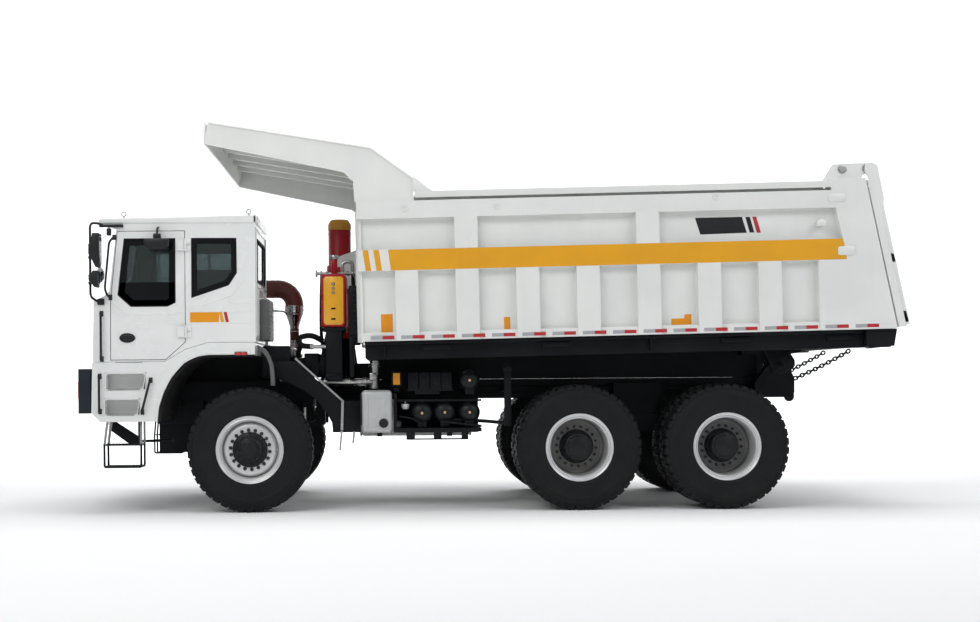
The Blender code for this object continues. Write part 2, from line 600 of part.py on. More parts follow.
for side, name in ((-1, "ladder_left"), (1, "ladder_right")):
    parts = []
    for reach in (1.88, 1.64):
        low, high = sorted((side * (reach - 0.012), side * (reach + 0.012)))
        parts.append(prism([(-4.562, 1.09 - GAP), (-4.594, 0.545), (-4.566, 0.545), (-4.534, 1.09 - GAP)],
            low, high))
        parts.append(box(-4.164, -4.136, low, high, 0.545, 1.09 - GAP))
    low, high = sorted((side * 1.62, side * 1.90))
    parts += [box(-4.60, -4.13, low, high, z - 0.012, z + 0.012) for z in (0.56, 0.81)]
    solid(name, TRIM, parts)


def mirror(side, name):
    y = side * 1.95
    out = side * 0.17
    parts = [pipe([(-4.44, y + side * 0.02, 3.46), (-4.60, y + out * 0.6, 3.455), (-4.70, y + out, 3.44),
        (-4.70, y + out, 2.55), (-4.66, y + side * 0.02, 2.53)], 0.014, 8)]
    for z0, z1, width in ((2.92, 3.30, 0.26), (2.68, 2.86, 0.24)):
        a, b = sorted((y + out - side * 0.02, y + out + side * width * 0.55))
        parts.append(box(-4.715, -4.57, a, b, z0, z1))
    return parts


solid("mirror_left", TRIM, [*mirror(-1, "mirror_left"), box(-4.60, -4.30, CAB_LEFT - 0.04, CAB_LEFT - GAP,
    3.445, 3.475)])
post_foot = 1.7975 + GAP
right_post = [(-4.60, 1.85, post_foot + 0.01), (-4.60, 1.85, 3.30), (-4.70, 2.12, 3.42), (-4.70, 2.12, 2.62)]
glasses = [box(-4.715, -4.57, 2.10, 2.263, z0, z1) for z0, z1 in ((2.92, 3.30), (2.68, 2.86))]
solid("mirror_right", TRIM, [pipe(right_post, 0.016, 8), box(-4.66, -4.54, 1.79, 1.91, post_foot, 1.83),
    *glasses])

rail_front, rail_back, rail_foot = -4.40, -3.06, 2.56 + GAP
rail_parts = [pipe([(rail_back, 1.22, rail_foot), (rail_back, 1.22, 3.42), (rail_front, 1.22, 3.42),
                    (rail_front, 1.22, rail_foot)], 0.02, 10),
              pipe([(rail_back, 1.22, 3.0), (rail_front, 1.22, 3.0)], 0.016, 8),
              pipe([(-3.70, 1.22, rail_foot), (-3.70, 1.22, 3.42)], 0.018, 10)]
solid("deck_rail", WHITE, rail_parts)

solid("seat", FABRIC, [box(-3.34, -3.06, -1.36, -1.00, 2.082 + GAP, 2.30), box(-3.70, -3.14, -1.44, -0.92,
    2.28, 2.42), prism([(-3.26, 2.36), (-3.12, 2.36), (-2.98, 3.02), (-3.10, 3.06)], -1.42, -0.94)])
solid("dashboard", TRIM, [prism([(-4.6513, 2.0), (-4.30, 2.0), (-4.22, 2.50), (-4.45, 2.56), (-4.60, 2.49),
    (-4.6418, 2.40)], -1.88, -0.50), rod((-4.30, -1.18, 2.36), (-4.02, -1.18, 2.56), 0.03, 12),
                          turn([(0.19, -0.016), (0.222, -0.016), (0.222, 0.016), (0.19, 0.016)], (-4.03,
                              -1.18, 2.56), "x", 20), box(-4.04, -4.02, -1.20, -1.16, 2.36,
                              2.76), box(-4.04, -4.02, -1.38, -0.98, 2.545, 2.575)])

solid("air_cleaner", BLACK, [rod((-4.05, 0.30, 2.82), (-3.00, 0.30, 2.82), 0.235, 20), *[box(x - 0.05,
    x + 0.05, 0.12, 0.48, 2.56 + GAP, 2.70) for x in (-3.85, -3.20)]])
duct = [(-2.9997, 0.30, 2.78), (-2.68, 0.30, 2.78), (-2.53, 0.30, 2.71), (-2.46, 0.30, 2.56), (-2.46, 0.30,
    2.30)]
solid("intake_duct", DUCT, [pipe(duct, 0.12, 16), rod((-2.46, 0.30, 2.31), (-2.46, 0.30, 2.05), 0.085, 16),
    pipe([(-2.46, 0.26, 2.10), (-2.46, 0.24, 1.72), (-2.50, 0.24, 1.63), (-2.6197, 0.24, 1.63)], 0.07, 10)],
    smooth=True)

# Hoist: a closed cover on top of three tubes that come out below it.
tubes = ((0.15, 0.135), (0.128, 0.113), (0.106, 0.091), (0.084, 0.0))
foot = HOIST_EYE_Z + 0.09
cover = rod((HOIST_X, 0, foot + 0.06), (HOIST_X, 0, HOIST_TOP - GAP), 0.15, 18)
pins = rod((HOIST_X, -0.25, HOIST_PIN_Z), (HOIST_X, 0.25, HOIST_PIN_Z), 0.04)
band = rod((HOIST_X, 0, HOIST_PIN_Z - 0.06), (HOIST_X, 0, HOIST_PIN_Z + 0.06), 0.172, 18)
bore = rod((HOIST_X, 0, foot - 0.2), (HOIST_X, 0, HOIST_TOP - 0.04), 0.135, 18)
solid("hoist_cover", RED, [cover, band, pins], [bore], smooth=True)
solid("hoist_cap", YELLOW, [rod((HOIST_X, 0, HOIST_TOP), (HOIST_X, 0, HOIST_TOP + 0.08), 0.148, 18),
    rod((HOIST_X, 0, HOIST_TOP + 0.07), (HOIST_X, 0, HOIST_TOP + 0.14), 0.10, 18)])
for index, (outer, inner) in enumerate(tubes[1:3], 1):
    low = foot + 0.06 - 0.02 * index
    top = HOIST_TOP - 0.06 - 0.03 * index
    solid(f"hoist_stage_{index}", STEEL, [turn([(inner, low), (outer, low), (outer, top), (inner, top)],
        (HOIST_X, 0, 0), "z", 18)], smooth=True)
eye = rod((HOIST_X, -0.07, HOIST_EYE_Z), (HOIST_X, 0.07, HOIST_EYE_Z), 0.075, 20)
ram = rod((HOIST_X, 0, HOIST_EYE_Z + 0.02), (HOIST_X, 0, HOIST_TOP - 0.16), 0.084, 18)
solid("hoist_ram", STEEL, [ram, eye], [rod((HOIST_X, -0.2, HOIST_EYE_Z), (HOIST_X, 0.2, HOIST_EYE_Z),
    0.0375, 20)])
pivot("hoist_foot", (HOIST_X, 0, HOIST_EYE_Z))
pivot("hoist_head", (HOIST_X, 0, HOIST_PIN_Z))


# Body, in its own lines.
def under_body():
    shapes = [box(-5.10, 1.13, a, b, 0.17, BODY_BOTTOM - GAP) for a, b in ((-1.80, -1.74), (1.74, 1.80))]
    bearers = 9
    for i in range(bearers):
        u = -5.08 + i * (1.05 + 5.08) / (bearers - 1)
        shapes.append(box(u - 0.04, u + 0.06, -1.78, 1.78, 0.19, BODY_BOTTOM - GAP))
    return shapes


solid("body_underframe", BLACK, under_body(), [box(BODY_FRONT, BODY_FRONT + 0.35, -0.24, 0.24, 0.0, 0.5)],
    tilted=True)


def sills(side):
    """One long sill with its tail ear, hung under the bearers."""
    top = 0.19 - GAP
    c, s = math.cos(BODY_TILT), math.sin(BODY_TILT)

    def below(x, z=None):
        u = (x - BODY_X) * c + 0.15 * s
        return (u, top) if z is None else ((x - BODY_X) * c + (z - BODY_Z) * s,
            (z - BODY_Z) * c - (x - BODY_X) * s)

    end = HINGE_X - 0.20
    sill = [below(-1.46, RAIL_TOP + 0.008), below(end, RAIL_TOP + 0.008), below(end), below(-1.46)]
    ear = [below(end - 0.02), below(end + 0.08, HINGE_Z - 0.04), below(HINGE_X - 0.05, HINGE_Z - 0.10),
        below(HINGE_X + 0.05, HINGE_Z - 0.10),
           below(HINGE_X + 0.10, HINGE_Z - 0.04), below(HINGE_X + 0.20)]
    u_end = (end - BODY_X) * c
    brace = [(u_end - 0.24, top - 0.06), (u_end + 0.06, top - 0.06), (u_end + 0.06, top), (u_end - 0.24, top)]
    lows = [sorted((side * a, side * b))
            for a, b in ((RAIL_IN, RAIL_OUT), (EAR_IN, EAR_OUT), (RAIL_OUT - 0.02, EAR_OUT))]
    shapes = [prism(sill, *lows[0]), prism(ear, *lows[1]), prism(brace, *lows[2])]
    low, high = sorted((side * (RAIL_OUT + 0.01), side * (RAIL_OUT + 0.31)))
    return shapes, [in_body(rod((HINGE_X, low, HINGE_Z), (HINGE_X, high, HINGE_Z), 0.048, 16))]


for side, word in ((-1, "left"), (1, "right")):
    made, bores = sills(side)
    solid(f"body_sill_{word}", BLACK, made, bores, tilted=True)
pivot("body_hinge", (HINGE_X, 0, HINGE_Z))

REAR_TOP, REAR_BOTTOM = 0.820, 1.155
post = [(0.575, BODY_BOTTOM), (1.150, BODY_BOTTOM), (0.815, 2.165), (0.384, 2.165), (0.457, 1.824), (0.531,
    1.46)]


def tub():
    w = HALF_WIDTH
    wall = [(BODY_FRONT, BODY_BOTTOM), (1.148, BODY_BOTTOM), (0.820, 2.12), (BODY_FRONT, 2.02)]
    side_wall = [(BODY_FRONT, BODY_BOTTOM), (1.145, BODY_BOTTOM), (0.825, 2.10), (BODY_FRONT + 0.66, 2.10),
        (BODY_FRONT + 0.66, 2.03), (BODY_FRONT, 2.03)]
    shapes = [box(BODY_FRONT, 1.14, -w + 0.1, w - 0.1, BODY_BOTTOM, BODY_FLOOR)]
    shapes += across(WALL_IN, WALL_OUT, lambda a, b: prism(side_wall, a, b))
    shapes.append(box(BODY_FRONT, BODY_FRONT + 0.03, -w + 0.08, w - 0.08, BODY_BOTTOM, BODY_RAIL))
    for low, high, start in ((BODY_RAIL + 0.035, BODY_TOP, BODY_FRONT + 0.67), (1.825, BODY_RAIL, BODY_FRONT - 0.02),
        (STRIPE_LOW, STRIPE_HIGH, BODY_FRONT - 0.02)):
        shapes += across(WALL_OUT - 0.01, w, lambda a, b: box(start, 0.60, a, b, low, high))
    shapes += across(WALL_OUT - 0.01, w - 0.02, lambda a, b: box(BODY_FRONT, 1.0, a, b, BODY_BOTTOM,
        BODY_BOTTOM + 0.10))
    for k in range(7):
        left = RIB_FIRST + RIB_PITCH * k
        shapes += across(WALL_OUT - 0.01, w, lambda a, b: box(left, left + 0.272, a, b, BODY_BOTTOM,
            STRIPE_LOW + 0.02))
    for left in (RIB_FIRST + RIB_PITCH, RIB_FIRST + 4 * RIB_PITCH):
        shapes += across(WALL_OUT - 0.01, w, lambda a, b: box(left, left + 0.272, a, b, STRIPE_HIGH - 0.02,
            1.85))
    shapes += across(WALL_OUT - 0.01, w, lambda a, b: prism([(0.239, BODY_BOTTOM), (0.62, BODY_BOTTOM),
        (0.60, STRIPE_LOW + 0.02), (0.239, STRIPE_LOW + 0.02)], a, b))
    shapes += across(WALL_IN, w, lambda a, b: prism(post, a, b))
    ear = [(0.288, 2.10), (0.443, 2.337), (0.60, 2.345), (0.88, 2.345), (0.91, 2.31), (0.91, 2.25), (0.88,
        2.215), (0.80, 2.21), (0.76, 2.10)]
    shapes += across(1.90, 1.94, lambda a, b: prism(ear, a, b))
    for y in (-0.9, 0.9, -1.5, 1.5):
        shapes.append(box(BODY_FRONT - 0.05, BODY_FRONT + 0.01, y - 0.05, y + 0.05, BODY_BOTTOM, 1.98))
    hook = [(BODY_FRONT + 0.02, 1.05), (BODY_FRONT - 0.40, 1.20), (BODY_FRONT - 0.40, 1.50),
        (BODY_FRONT + 0.02, 1.65)]
    for a, b in ((-0.235, -0.185), (0.185, 0.235)):
        shapes.append(prism(hook, a, b))
    shapes.append(prism([(BODY_FRONT + 0.01, 1.02), (BODY_FRONT + 0.05, 1.02), (BODY_FRONT + 0.28, 0.42),
        (BODY_FRONT + 0.28, 0.40), (BODY_FRONT + 0.01, 0.40)], -0.24, 0.24))
    return shapes


# The well in the body's front wall that the hoist swings into.
well = [(BODY_FRONT - 0.14, 0.98), (BODY_FRONT + 0.01, 0.98), (BODY_FRONT + 0.24, 0.40), (BODY_FRONT + 0.26,
    0.10), (BODY_FRONT - 0.14, 0.10)]


bores = [prism(well, -0.21, 0.21), in_body(rod((HOIST_X, -0.3, HOIST_PIN_Z), (HOIST_X, 0.3, HOIST_PIN_Z),
    0.0425, 16)),
         rod((GATE_PIVOT[0], -2.2, GATE_PIVOT[1]), (GATE_PIVOT[0], 2.2, GATE_PIVOT[1]), 0.022, 16)]
solid("body_tub", WHITE, tub(), bores, tilted=True)


def canopy():
    line = [(-6.902, 3.025), (-6.848, 3.010), (-4.991, 2.672), (-4.504, 2.303), (-4.504, BODY_RAIL + GAP),
        (-5.20, BODY_RAIL + GAP), (-5.212, 2.284), (-5.301, 2.388), (-6.892, 2.748), (-6.95, 2.765)]
    deck = [(-6.902, 3.025), (-6.848, 3.010), (-4.991, 2.672), (-4.504, 2.303), (-4.52, 2.285), (-5.00,
        2.650), (-6.84, 2.985), (-6.89, 2.995), (-6.93, 2.765), (-6.95, 2.765)]
    shapes = [prism(line, a, b) for a, b in ((-1.98, -1.955), (1.955, 1.98))]
    shapes.append(prism(deck, -1.97, 1.97))
    shapes.append(prism([(-5.20, BODY_RAIL + GAP), (-5.17, BODY_RAIL + GAP), (-5.17, 2.695), (-5.20, 2.70)],
        -1.97, 1.97))
    for k in range(6):
        y = -1.45 + 0.58 * k
        shapes.append(prism([(-6.90, 2.92), (-5.19, 2.60), (-5.19, 2.69), (-6.90, 3.0)], y - 0.03, y + 0.03))
    return shapes


solid("canopy", WHITE, canopy(), tilted=True)


def gate():
    plate = [(0.836, 2.14), (0.925, 2.14), (1.258, 0.407), (1.170, 0.402)]
    shapes = [prism(plate, -HALF_WIDTH + 0.01, HALF_WIDTH - 0.01)]
    arm = [(0.889, 2.347), (0.962, 2.31), (1.033, 1.911), (0.994, 1.73), (0.90, 2.0), (0.86, 2.16), (0.815,
        2.25), (0.825, 2.33)]
    shapes += across(1.955, 1.99, lambda a, b: prism(arm, a, b))
    shapes += across(1.885, 1.99, lambda a, b: rod((GATE_PIVOT[0], a, GATE_PIVOT[1]), (GATE_PIVOT[0], b,
        GATE_PIVOT[1]), 0.019, 12))
    return shapes


solid("tailgate", WHITE, gate(), tilted=True)
c, s = math.cos(BODY_TILT), math.sin(BODY_TILT)
pivot("tailgate_hinge", (BODY_X + GATE_PIVOT[0] * c - GATE_PIVOT[1] * s, 0,
    BODY_Z + GATE_PIVOT[0] * s + GATE_PIVOT[1] * c))
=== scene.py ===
"""Looks of a three-axle mining dump truck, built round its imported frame.

Metres. The truck faces -X, its left is -Y, and the ground is z = 0.
"""
import json
import math
import random

import bmesh
import bpy
from mathutils import Matrix, Vector

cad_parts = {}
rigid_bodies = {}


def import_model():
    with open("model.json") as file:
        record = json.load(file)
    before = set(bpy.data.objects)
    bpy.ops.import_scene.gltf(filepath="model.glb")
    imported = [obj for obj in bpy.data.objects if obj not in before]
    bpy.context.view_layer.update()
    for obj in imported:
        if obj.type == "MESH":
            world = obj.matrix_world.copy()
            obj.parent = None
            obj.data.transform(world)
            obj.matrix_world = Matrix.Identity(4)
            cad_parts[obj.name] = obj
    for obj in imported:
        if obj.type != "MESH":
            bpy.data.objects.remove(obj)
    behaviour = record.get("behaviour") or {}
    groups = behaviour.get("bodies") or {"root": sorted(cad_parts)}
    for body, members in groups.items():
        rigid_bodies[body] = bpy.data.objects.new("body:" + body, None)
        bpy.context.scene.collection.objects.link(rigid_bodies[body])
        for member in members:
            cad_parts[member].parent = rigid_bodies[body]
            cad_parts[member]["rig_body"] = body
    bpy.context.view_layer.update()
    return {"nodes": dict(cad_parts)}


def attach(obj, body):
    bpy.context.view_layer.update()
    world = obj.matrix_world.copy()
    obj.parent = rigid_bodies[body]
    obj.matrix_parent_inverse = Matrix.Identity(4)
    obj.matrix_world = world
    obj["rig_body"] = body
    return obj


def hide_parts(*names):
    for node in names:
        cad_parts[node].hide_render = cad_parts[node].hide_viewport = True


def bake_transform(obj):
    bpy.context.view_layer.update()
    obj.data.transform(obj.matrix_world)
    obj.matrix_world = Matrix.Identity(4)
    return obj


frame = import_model()
cad = frame["nodes"]

# Where the truck's own lines lie
BODY_HINGE_LINES = Matrix.Translation((3.63, 0, 1.72)) @ Matrix.Rotation(-math.radians(1.0), 4, "Y")
WHEEL_HEIGHT = 0.745
FRONT_AXLE, MID_AXLE, REAR_AXLE = -2.87, 1.04, 2.79
FRONT_TRACK, OUTER_DUAL, INNER_DUAL = 1.67, 1.665, 1.165
CAB_SIDE, CAB_INNER, CAB_BACK = -1.95, -0.42, -2.78
HOIST_X = -1.85
BODY_SIDE = 2.0
SIDES = ((-1, "left"), (1, "right"))


# ---------------------------------------------------------------- shapes
def joined(*shapes):
    """One bmesh from several."""
    whole = bmesh.new()
    for shape in shapes:
        step = bpy.data.meshes.new("step")
        shape.to_mesh(step)
        whole.from_mesh(step)
        shape.free()
        bpy.data.meshes.remove(step)
    return whole


def placed(shape, *moves):
    """The shape after each matrix in turn."""
    for move in moves:
        bmesh.ops.transform(shape, matrix=move, verts=shape.verts)
    return shape


def eased(shape, width, rounds=2, angle=28):
    """Sharp edges rounded off."""
    if width > 0:
        sharp = [e for e in shape.edges if len(e.link_faces) == 2 and e.calc_face_angle(0) > math.radians(angle)]
        bmesh.ops.bevel(shape, geom=sharp, offset=width, offset_type="OFFSET", segments=rounds, profile=0.5,
                        affect="EDGES", material=-1, clamp_overlap=True)
    return shape


def block(x0, x1, y0, y1, z0, z1, edge=0.004, rounds=2):
    shape = bmesh.new()
    bmesh.ops.create_cube(shape, size=1.0)
    bmesh.ops.scale(shape, vec=(x1 - x0, y1 - y0, z1 - z0), verts=shape.verts)
    bmesh.ops.translate(shape, vec=((x0 + x1) / 2, (y0 + y1) / 2, (z0 + z1) / 2), verts=shape.verts)
    return eased(shape, edge, rounds)


def outline(points, low, high, axis="y", edge=0.0, rounds=2, hole=0.0):
    """A flat outline given its thickness along an axis. A hole leaves a rim of that width."""
    shape = bmesh.new()
    spots = {"x": lambda a, b: (low, a, b), "y": lambda a, b: (a, low, b), "z": lambda a,
             b: (a, b, low)}[axis]
    face = shape.faces.new([shape.verts.new(spots(a, b)) for a, b in points])
    if hole:
        shape.normal_update()
        bmesh.ops.inset_region(shape, faces=[face], thickness=hole, use_even_offset=True, use_boundary=True)
        bmesh.ops.delete(shape, geom=[face], context="FACES")
    push = {"x": (high - low, 0, 0), "y": (0, high - low, 0), "z": (0, 0, high - low)}[axis]
    moved = bmesh.ops.extrude_face_region(shape, geom=list(shape.faces), use_keep_orig=True)["geom"]
    bmesh.ops.translate(shape, vec=push, verts=[v for v in moved if isinstance(v, bmesh.types.BMVert)])
    bmesh.ops.recalc_face_normals(shape, faces=shape.faces)
    return eased(shape, edge, rounds)


def turned(profile, centre, axis="y", steps=48, closed=True):
    """A profile of (radius, along) turned about an axis through the centre."""
    shape = bmesh.new()
    spots = {"x": lambda r, a: (a, r, 0), "y": lambda r, a: (r, a, 0), "z": lambda r, a: (r, 0, a)}[axis]
    line = [shape.verts.new(spots(r, a)) for r, a in profile]
    pairs = list(zip(line, line[1:])) + ([(line[-1], line[0])] if closed else [])
    edges = [shape.edges.new(pair) for pair in pairs]
    way = {"x": (1, 0, 0), "y": (0, 1, 0), "z": (0, 0, 1)}[axis]
    bmesh.ops.spin(shape, geom=line + edges, cent=(0, 0, 0), axis=way, angle=2 * math.pi, steps=steps,
                   use_merge=True)
    bmesh.ops.remove_doubles(shape, verts=shape.verts, dist=1e-6)
    bmesh.ops.recalc_face_normals(shape, faces=shape.faces)
    bmesh.ops.translate(shape, vec=centre, verts=shape.verts)
    return shape


def bar(start, end, radius, sides=20, edge=0.0, far_radius=None):
    """A round bar between two points, or a cone where the far radius differs."""
    start, end = Vector(start), Vector(end)
    shape = bmesh.new()
    bmesh.ops.create_cone(shape, cap_ends=True, segments=sides, radius1=radius,
                          radius2=radius if far_radius is None else far_radius, depth=(end - start).length)
    eased(shape, edge, 2, 60)
    turn = (end - start).to_track_quat("Z", "Y").to_matrix().to_4x4()
    return placed(shape, turn, Matrix.Translation((start + end) / 2))


def rounded(path, bend):
    """The path with each corner bent to a radius."""
    points = [Vector(p) for p in path]
    line = [points[0]]
    for before, corner, after in zip(points, points[1:], points[2:]):
        back, on = (before - corner), (after - corner)
        reach = min(bend, back.length * 0.48, on.length * 0.48)
        first, last = corner + back.normalized() * reach, corner + on.normalized() * reach
        for i in range(7):
            t = i / 6
            line.append(first * (1 - t) ** 2 + corner * 2 * t * (1 - t) + last * t * t)
    return [*line, points[-1]]


def tube(path, radius, bend=0.06, sides=3):
    """A round tube along a path with bent corners."""
    curve = bpy.data.curves.new("run", "CURVE")
    curve.dimensions = "3D"
    curve.bevel_depth = radius
    curve.bevel_resolution = sides
    curve.use_fill_caps = True
    line = rounded(path, bend)
    spline = curve.splines.new("POLY")
    spline.points.add(len(line) - 1)
    for point, place in zip(spline.points, line):
        point.co = (*place, 1)
    held = bpy.data.objects.new("run", curve)
    bpy.context.scene.collection.objects.link(held)
    mesh = bpy.data.meshes.new_from_object(held.evaluated_get(bpy.context.evaluated_depsgraph_get()))
    bpy.data.objects.remove(held)
    shape = bmesh.new()
    shape.from_mesh(mesh)
    bmesh.ops.remove_doubles(shape, verts=shape.verts, dist=1e-6)
    bmesh.ops.recalc_face_normals(shape, faces=shape.faces)
    bpy.data.meshes.remove(mesh)
    return shape


def bolt(place, radius, height, way=(0, -1, 0), sides=6):
    """A bolt head that stands on its place."""
    start = Vector(place)
    return bar(start - Vector(way) * 0.004, start + Vector(way) * height, radius, sides, radius * 0.18)


def ring_of(shape, count, centre, axis="Y", start=0.0):
    """Copies of a shape round a wheel's axle."""
    step = bpy.data.meshes.new("step")
    shape.to_mesh(step)
    shape.free()
    whole = bmesh.new()
    size = len(step.vertices)
    for i in range(count):
        whole.from_mesh(step)
        whole.verts.ensure_lookup_table()
        turn = Matrix.Translation(centre) @ Matrix.Rotation(start + 2 * math.pi * i / count, 4, axis)
        turn = turn @ Matrix.Translation(-Vector(centre))
        bmesh.ops.transform(whole, matrix=turn, verts=whole.verts[-size:])
    bpy.data.meshes.remove(step)
    return whole


def mirrored(maker):
    """The same shape on the left and on the right. The maker takes the side's sign."""
    return joined(*[maker(side) for side, word in SIDES])


def arc_strip(points, wide, low, high):
    """A flat strip that follows a line in the XZ plane."""
    line = [Vector(p) for p in points]
    outer, inner = [], []
    for i, p in enumerate(line):
        before, after = line[max(i - 1, 0)], line[min(i + 1, len(line) - 1)]
        way = (after - before).normalized()
        across = Vector((-way.y, way.x)) * wide / 2
        outer.append(tuple(p + across))
        inner.append(tuple(p - across))
    return outline(outer + inner[::-1], low, high, "y")


def as_piece(name, shape, finish, body, slot, *stands_for, flat_above=35):
    """A finished object: its mesh, its finish, the body it rides on and the CAD nodes it stands for."""
    mesh = bpy.data.meshes.new(name)
    shape.to_mesh(mesh)
    shape.free()
    for face in mesh.polygons:
        face.use_smooth = True
    mesh.set_sharp_from_angle(angle=math.radians(flat_above))
    mesh.materials.append(finish)
    made = bpy.data.objects.new(name, mesh)
    bpy.context.scene.collection.objects.link(made)
    if body:
        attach(made, body)
    if stands_for:
        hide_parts(*stands_for)
    return made


def softened(node, finish, slot, width, rounds=2, name=None):
    """A CAD node with its edges rounded as folded and welded plate has them."""
    shape = bmesh.new()
    shape.from_mesh(cad[node].data)
    bmesh.ops.remove_doubles(shape, verts=shape.verts, dist=2e-5)
    bmesh.ops.dissolve_limit(shape, angle_limit=math.radians(0.6), verts=shape.verts, edges=shape.edges)
    made = as_piece(name or node + "_skin", shape, finish, cad[node]["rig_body"], slot, node, flat_above=30)
    if width:
        edge = made.modifiers.new("rounded_edges", "BEVEL")
        edge.width = width
        edge.segments = rounds
        edge.limit_method = "ANGLE"
        edge.angle_limit = math.radians(30)
        edge.harden_normals = True
        edge.use_clamp_overlap = True
    return made


# ---------------------------------------------------------------- finishes
def put(tree, kind, links=None, **settings):
    """A node with its settings and its inputs, each a value or another node's output."""
    made = tree.nodes.new(kind)
    for name, value in settings.items():
        setattr(made, name, value)
    for name, value in (links or {}).items():
        socket = made.inputs[name]
        if isinstance(value, bpy.types.NodeSocket):
            tree.links.new(value, socket)
        else:
            socket.default_value = value
    return made


def maths(tree, operation, first, second=0.0, clamp=False):
    made = put(tree, "ShaderNodeMath", {0: first, 1: second}, operation=operation, use_clamp=clamp)
    return made.outputs[0]


def blended(tree, share, first, second, kind="MIX"):
    made = put(tree, "ShaderNodeMix", data_type="RGBA", blend_type=kind)
    for index, value in ((0, share), (6, first), (7, second)):
        if isinstance(value, bpy.types.NodeSocket):
            tree.links.new(value, made.inputs[index])
        else:
            made.inputs[index].default_value = value if index == 0 else (*value, 1.0)
    return made.outputs[2]


def between(tree, value, low, high, to_low=0.0, to_high=1.0):
    made = put(tree, "ShaderNodeMapRange", {"Value": value, "From Min": low, "From Max": high,
                                            "To Min": to_low, "To Max": to_high}, clamp=True)
    return made.outputs["Result"]


def new_group(name, inputs, outputs):
    group = bpy.data.node_groups.new(name, "ShaderNodeTree")
    for label, value in inputs:
        group.interface.new_socket(label, in_out="INPUT", socket_type="NodeSocketFloat").default_value = value
    for label in outputs:
        group.interface.new_socket(label, in_out="OUTPUT", socket_type="NodeSocketFloat")
    return group, group.nodes.new("NodeGroupInput").outputs, group.nodes.new("NodeGroupOutput").inputs


def road_dust():
    """More dust low down and on faces that look up, in soft clouds."""
    group, given, out = new_group("road_dust", [("Ground", 0.2), ("Clean Above", 2.2), ("Amount", 0.5)],
                                  ["Dust"])
    place = put(group, "ShaderNodeTexCoord").outputs["Object"]
    height = put(group, "ShaderNodeSeparateXYZ", {"Vector": place}).outputs["Z"]
    low = put(group, "ShaderNodeMapRange", {"Value": height, "From Min": given["Ground"],
                                            "From Max": given["Clean Above"], "To Min": 1.0,
                                            "To Max": 0.0}).outputs[0]
    cloud = put(group, "ShaderNodeTexNoise",
                {"Vector": place, "Scale": 2.6, "Detail": 7.0, "Roughness": 0.62}).outputs[0]
    fine = put(group, "ShaderNodeTexNoise",
               {"Vector": place, "Scale": 38.0, "Detail": 4.0, "Roughness": 0.7}).outputs[0]
    facing = put(group, "ShaderNodeSeparateXYZ",
                 {"Vector": put(group, "ShaderNodeNewGeometry").outputs["Normal"]}).outputs["Z"]
    flat = between(group, facing, 0.5, 1.0, 0.0, 0.55)
    amount = maths(group, "ADD", maths(group, "MULTIPLY", low, low), flat)
    amount = maths(group, "MULTIPLY", amount, between(group, cloud, 0.34, 0.66))
    amount = maths(group, "MULTIPLY", amount, between(group, fine, 0.30, 0.62, 0.55, 1.0))
    group.links.new(maths(group, "MULTIPLY", amount, given["Amount"], clamp=True), out["Dust"])
    return group


def rubbed_edges():
    """Paint rubbed through along outer edges, in patches."""
    group, given, out = new_group("rubbed_edges", [("Width", 0.008), ("Amount", 0.5)], ["Wear"])
    soft = put(group, "ShaderNodeBevel", {"Radius": given["Width"]}, samples=3).outputs[0]
    hard = put(group, "ShaderNodeNewGeometry").outputs["Normal"]
    alike = put(group, "ShaderNodeVectorMath", {0: soft, 1: hard}, operation="DOT_PRODUCT").outputs["Value"]
    edge = between(group, alike, 0.985, 0.80)
    place = put(group, "ShaderNodeTexCoord").outputs["Object"]
    patch = put(group, "ShaderNodeTexNoise",
                {"Vector": place, "Scale": 9.0, "Detail": 8.0, "Roughness": 0.72}).outputs[0]
    worn = maths(group, "MULTIPLY", edge, between(group, patch, 0.50, 0.62))
    group.links.new(maths(group, "MULTIPLY", worn, given["Amount"], clamp=True), out["Wear"])
    return group


def rain_runs():
    """Faint runs down upright plate."""
    group, given, out = new_group("rain_runs", [("Spacing", 9.0), ("Amount", 0.4)], ["Runs"])
    place = put(group, "ShaderNodeTexCoord").outputs["Object"]
    split = put(group, "ShaderNodeSeparateXYZ", {"Vector": place})
    across = maths(group, "MULTIPLY", maths(group, "ADD", split.outputs["X"], split.outputs["Y"]),
                   given["Spacing"])
    run = put(group, "ShaderNodeCombineXYZ",
              {"X": across, "Y": maths(group, "MULTIPLY", split.outputs["Z"], 0.55)}).outputs[0]
    streak = put(group, "ShaderNodeTexNoise",
                 {"Vector": run, "Scale": 1.0, "Detail": 5.0, "Roughness": 0.6}).outputs[0]
    wide = put(group, "ShaderNodeTexNoise", {"Vector": place, "Scale": 0.7, "Detail": 2.0}).outputs[0]
    both = maths(group, "MULTIPLY", between(group, streak, 0.50, 0.74), between(group, wide, 0.40, 0.62))
    group.links.new(maths(group, "MULTIPLY", both, given["Amount"], clamp=True), out["Runs"])
    return group


def fine_grain():
    """Orange peel in sprayed paint, or the pits of cast and moulded parts."""
    group, given, out = new_group("fine_grain", [("Grain Size", 0.004), ("Waviness", 0.3)],
                                  ["Height", "Shade"])
    place = put(group, "ShaderNodeTexCoord").outputs["Object"]
    scale = maths(group, "DIVIDE", 1.0, given["Grain Size"])
    pits = put(group, "ShaderNodeTexNoise",
               {"Vector": place, "Scale": scale, "Detail": 3.0, "Roughness": 0.55}).outputs[0]
    waves = put(group, "ShaderNodeTexNoise",
                {"Vector": place, "Scale": 1.6, "Detail": 3.0, "Roughness": 0.5}).outputs[0]
    height = maths(group, "ADD", maths(group, "MULTIPLY", waves, given["Waviness"]),
                   maths(group, "MULTIPLY", pits, 0.5))
    group.links.new(height, out["Height"])
    group.links.new(waves, out["Shade"])
    return group


ROAD_DUST, RUBBED_EDGES, RAIN_RUNS, FINE_GRAIN = road_dust(), rubbed_edges(), rain_runs(), fine_grain()


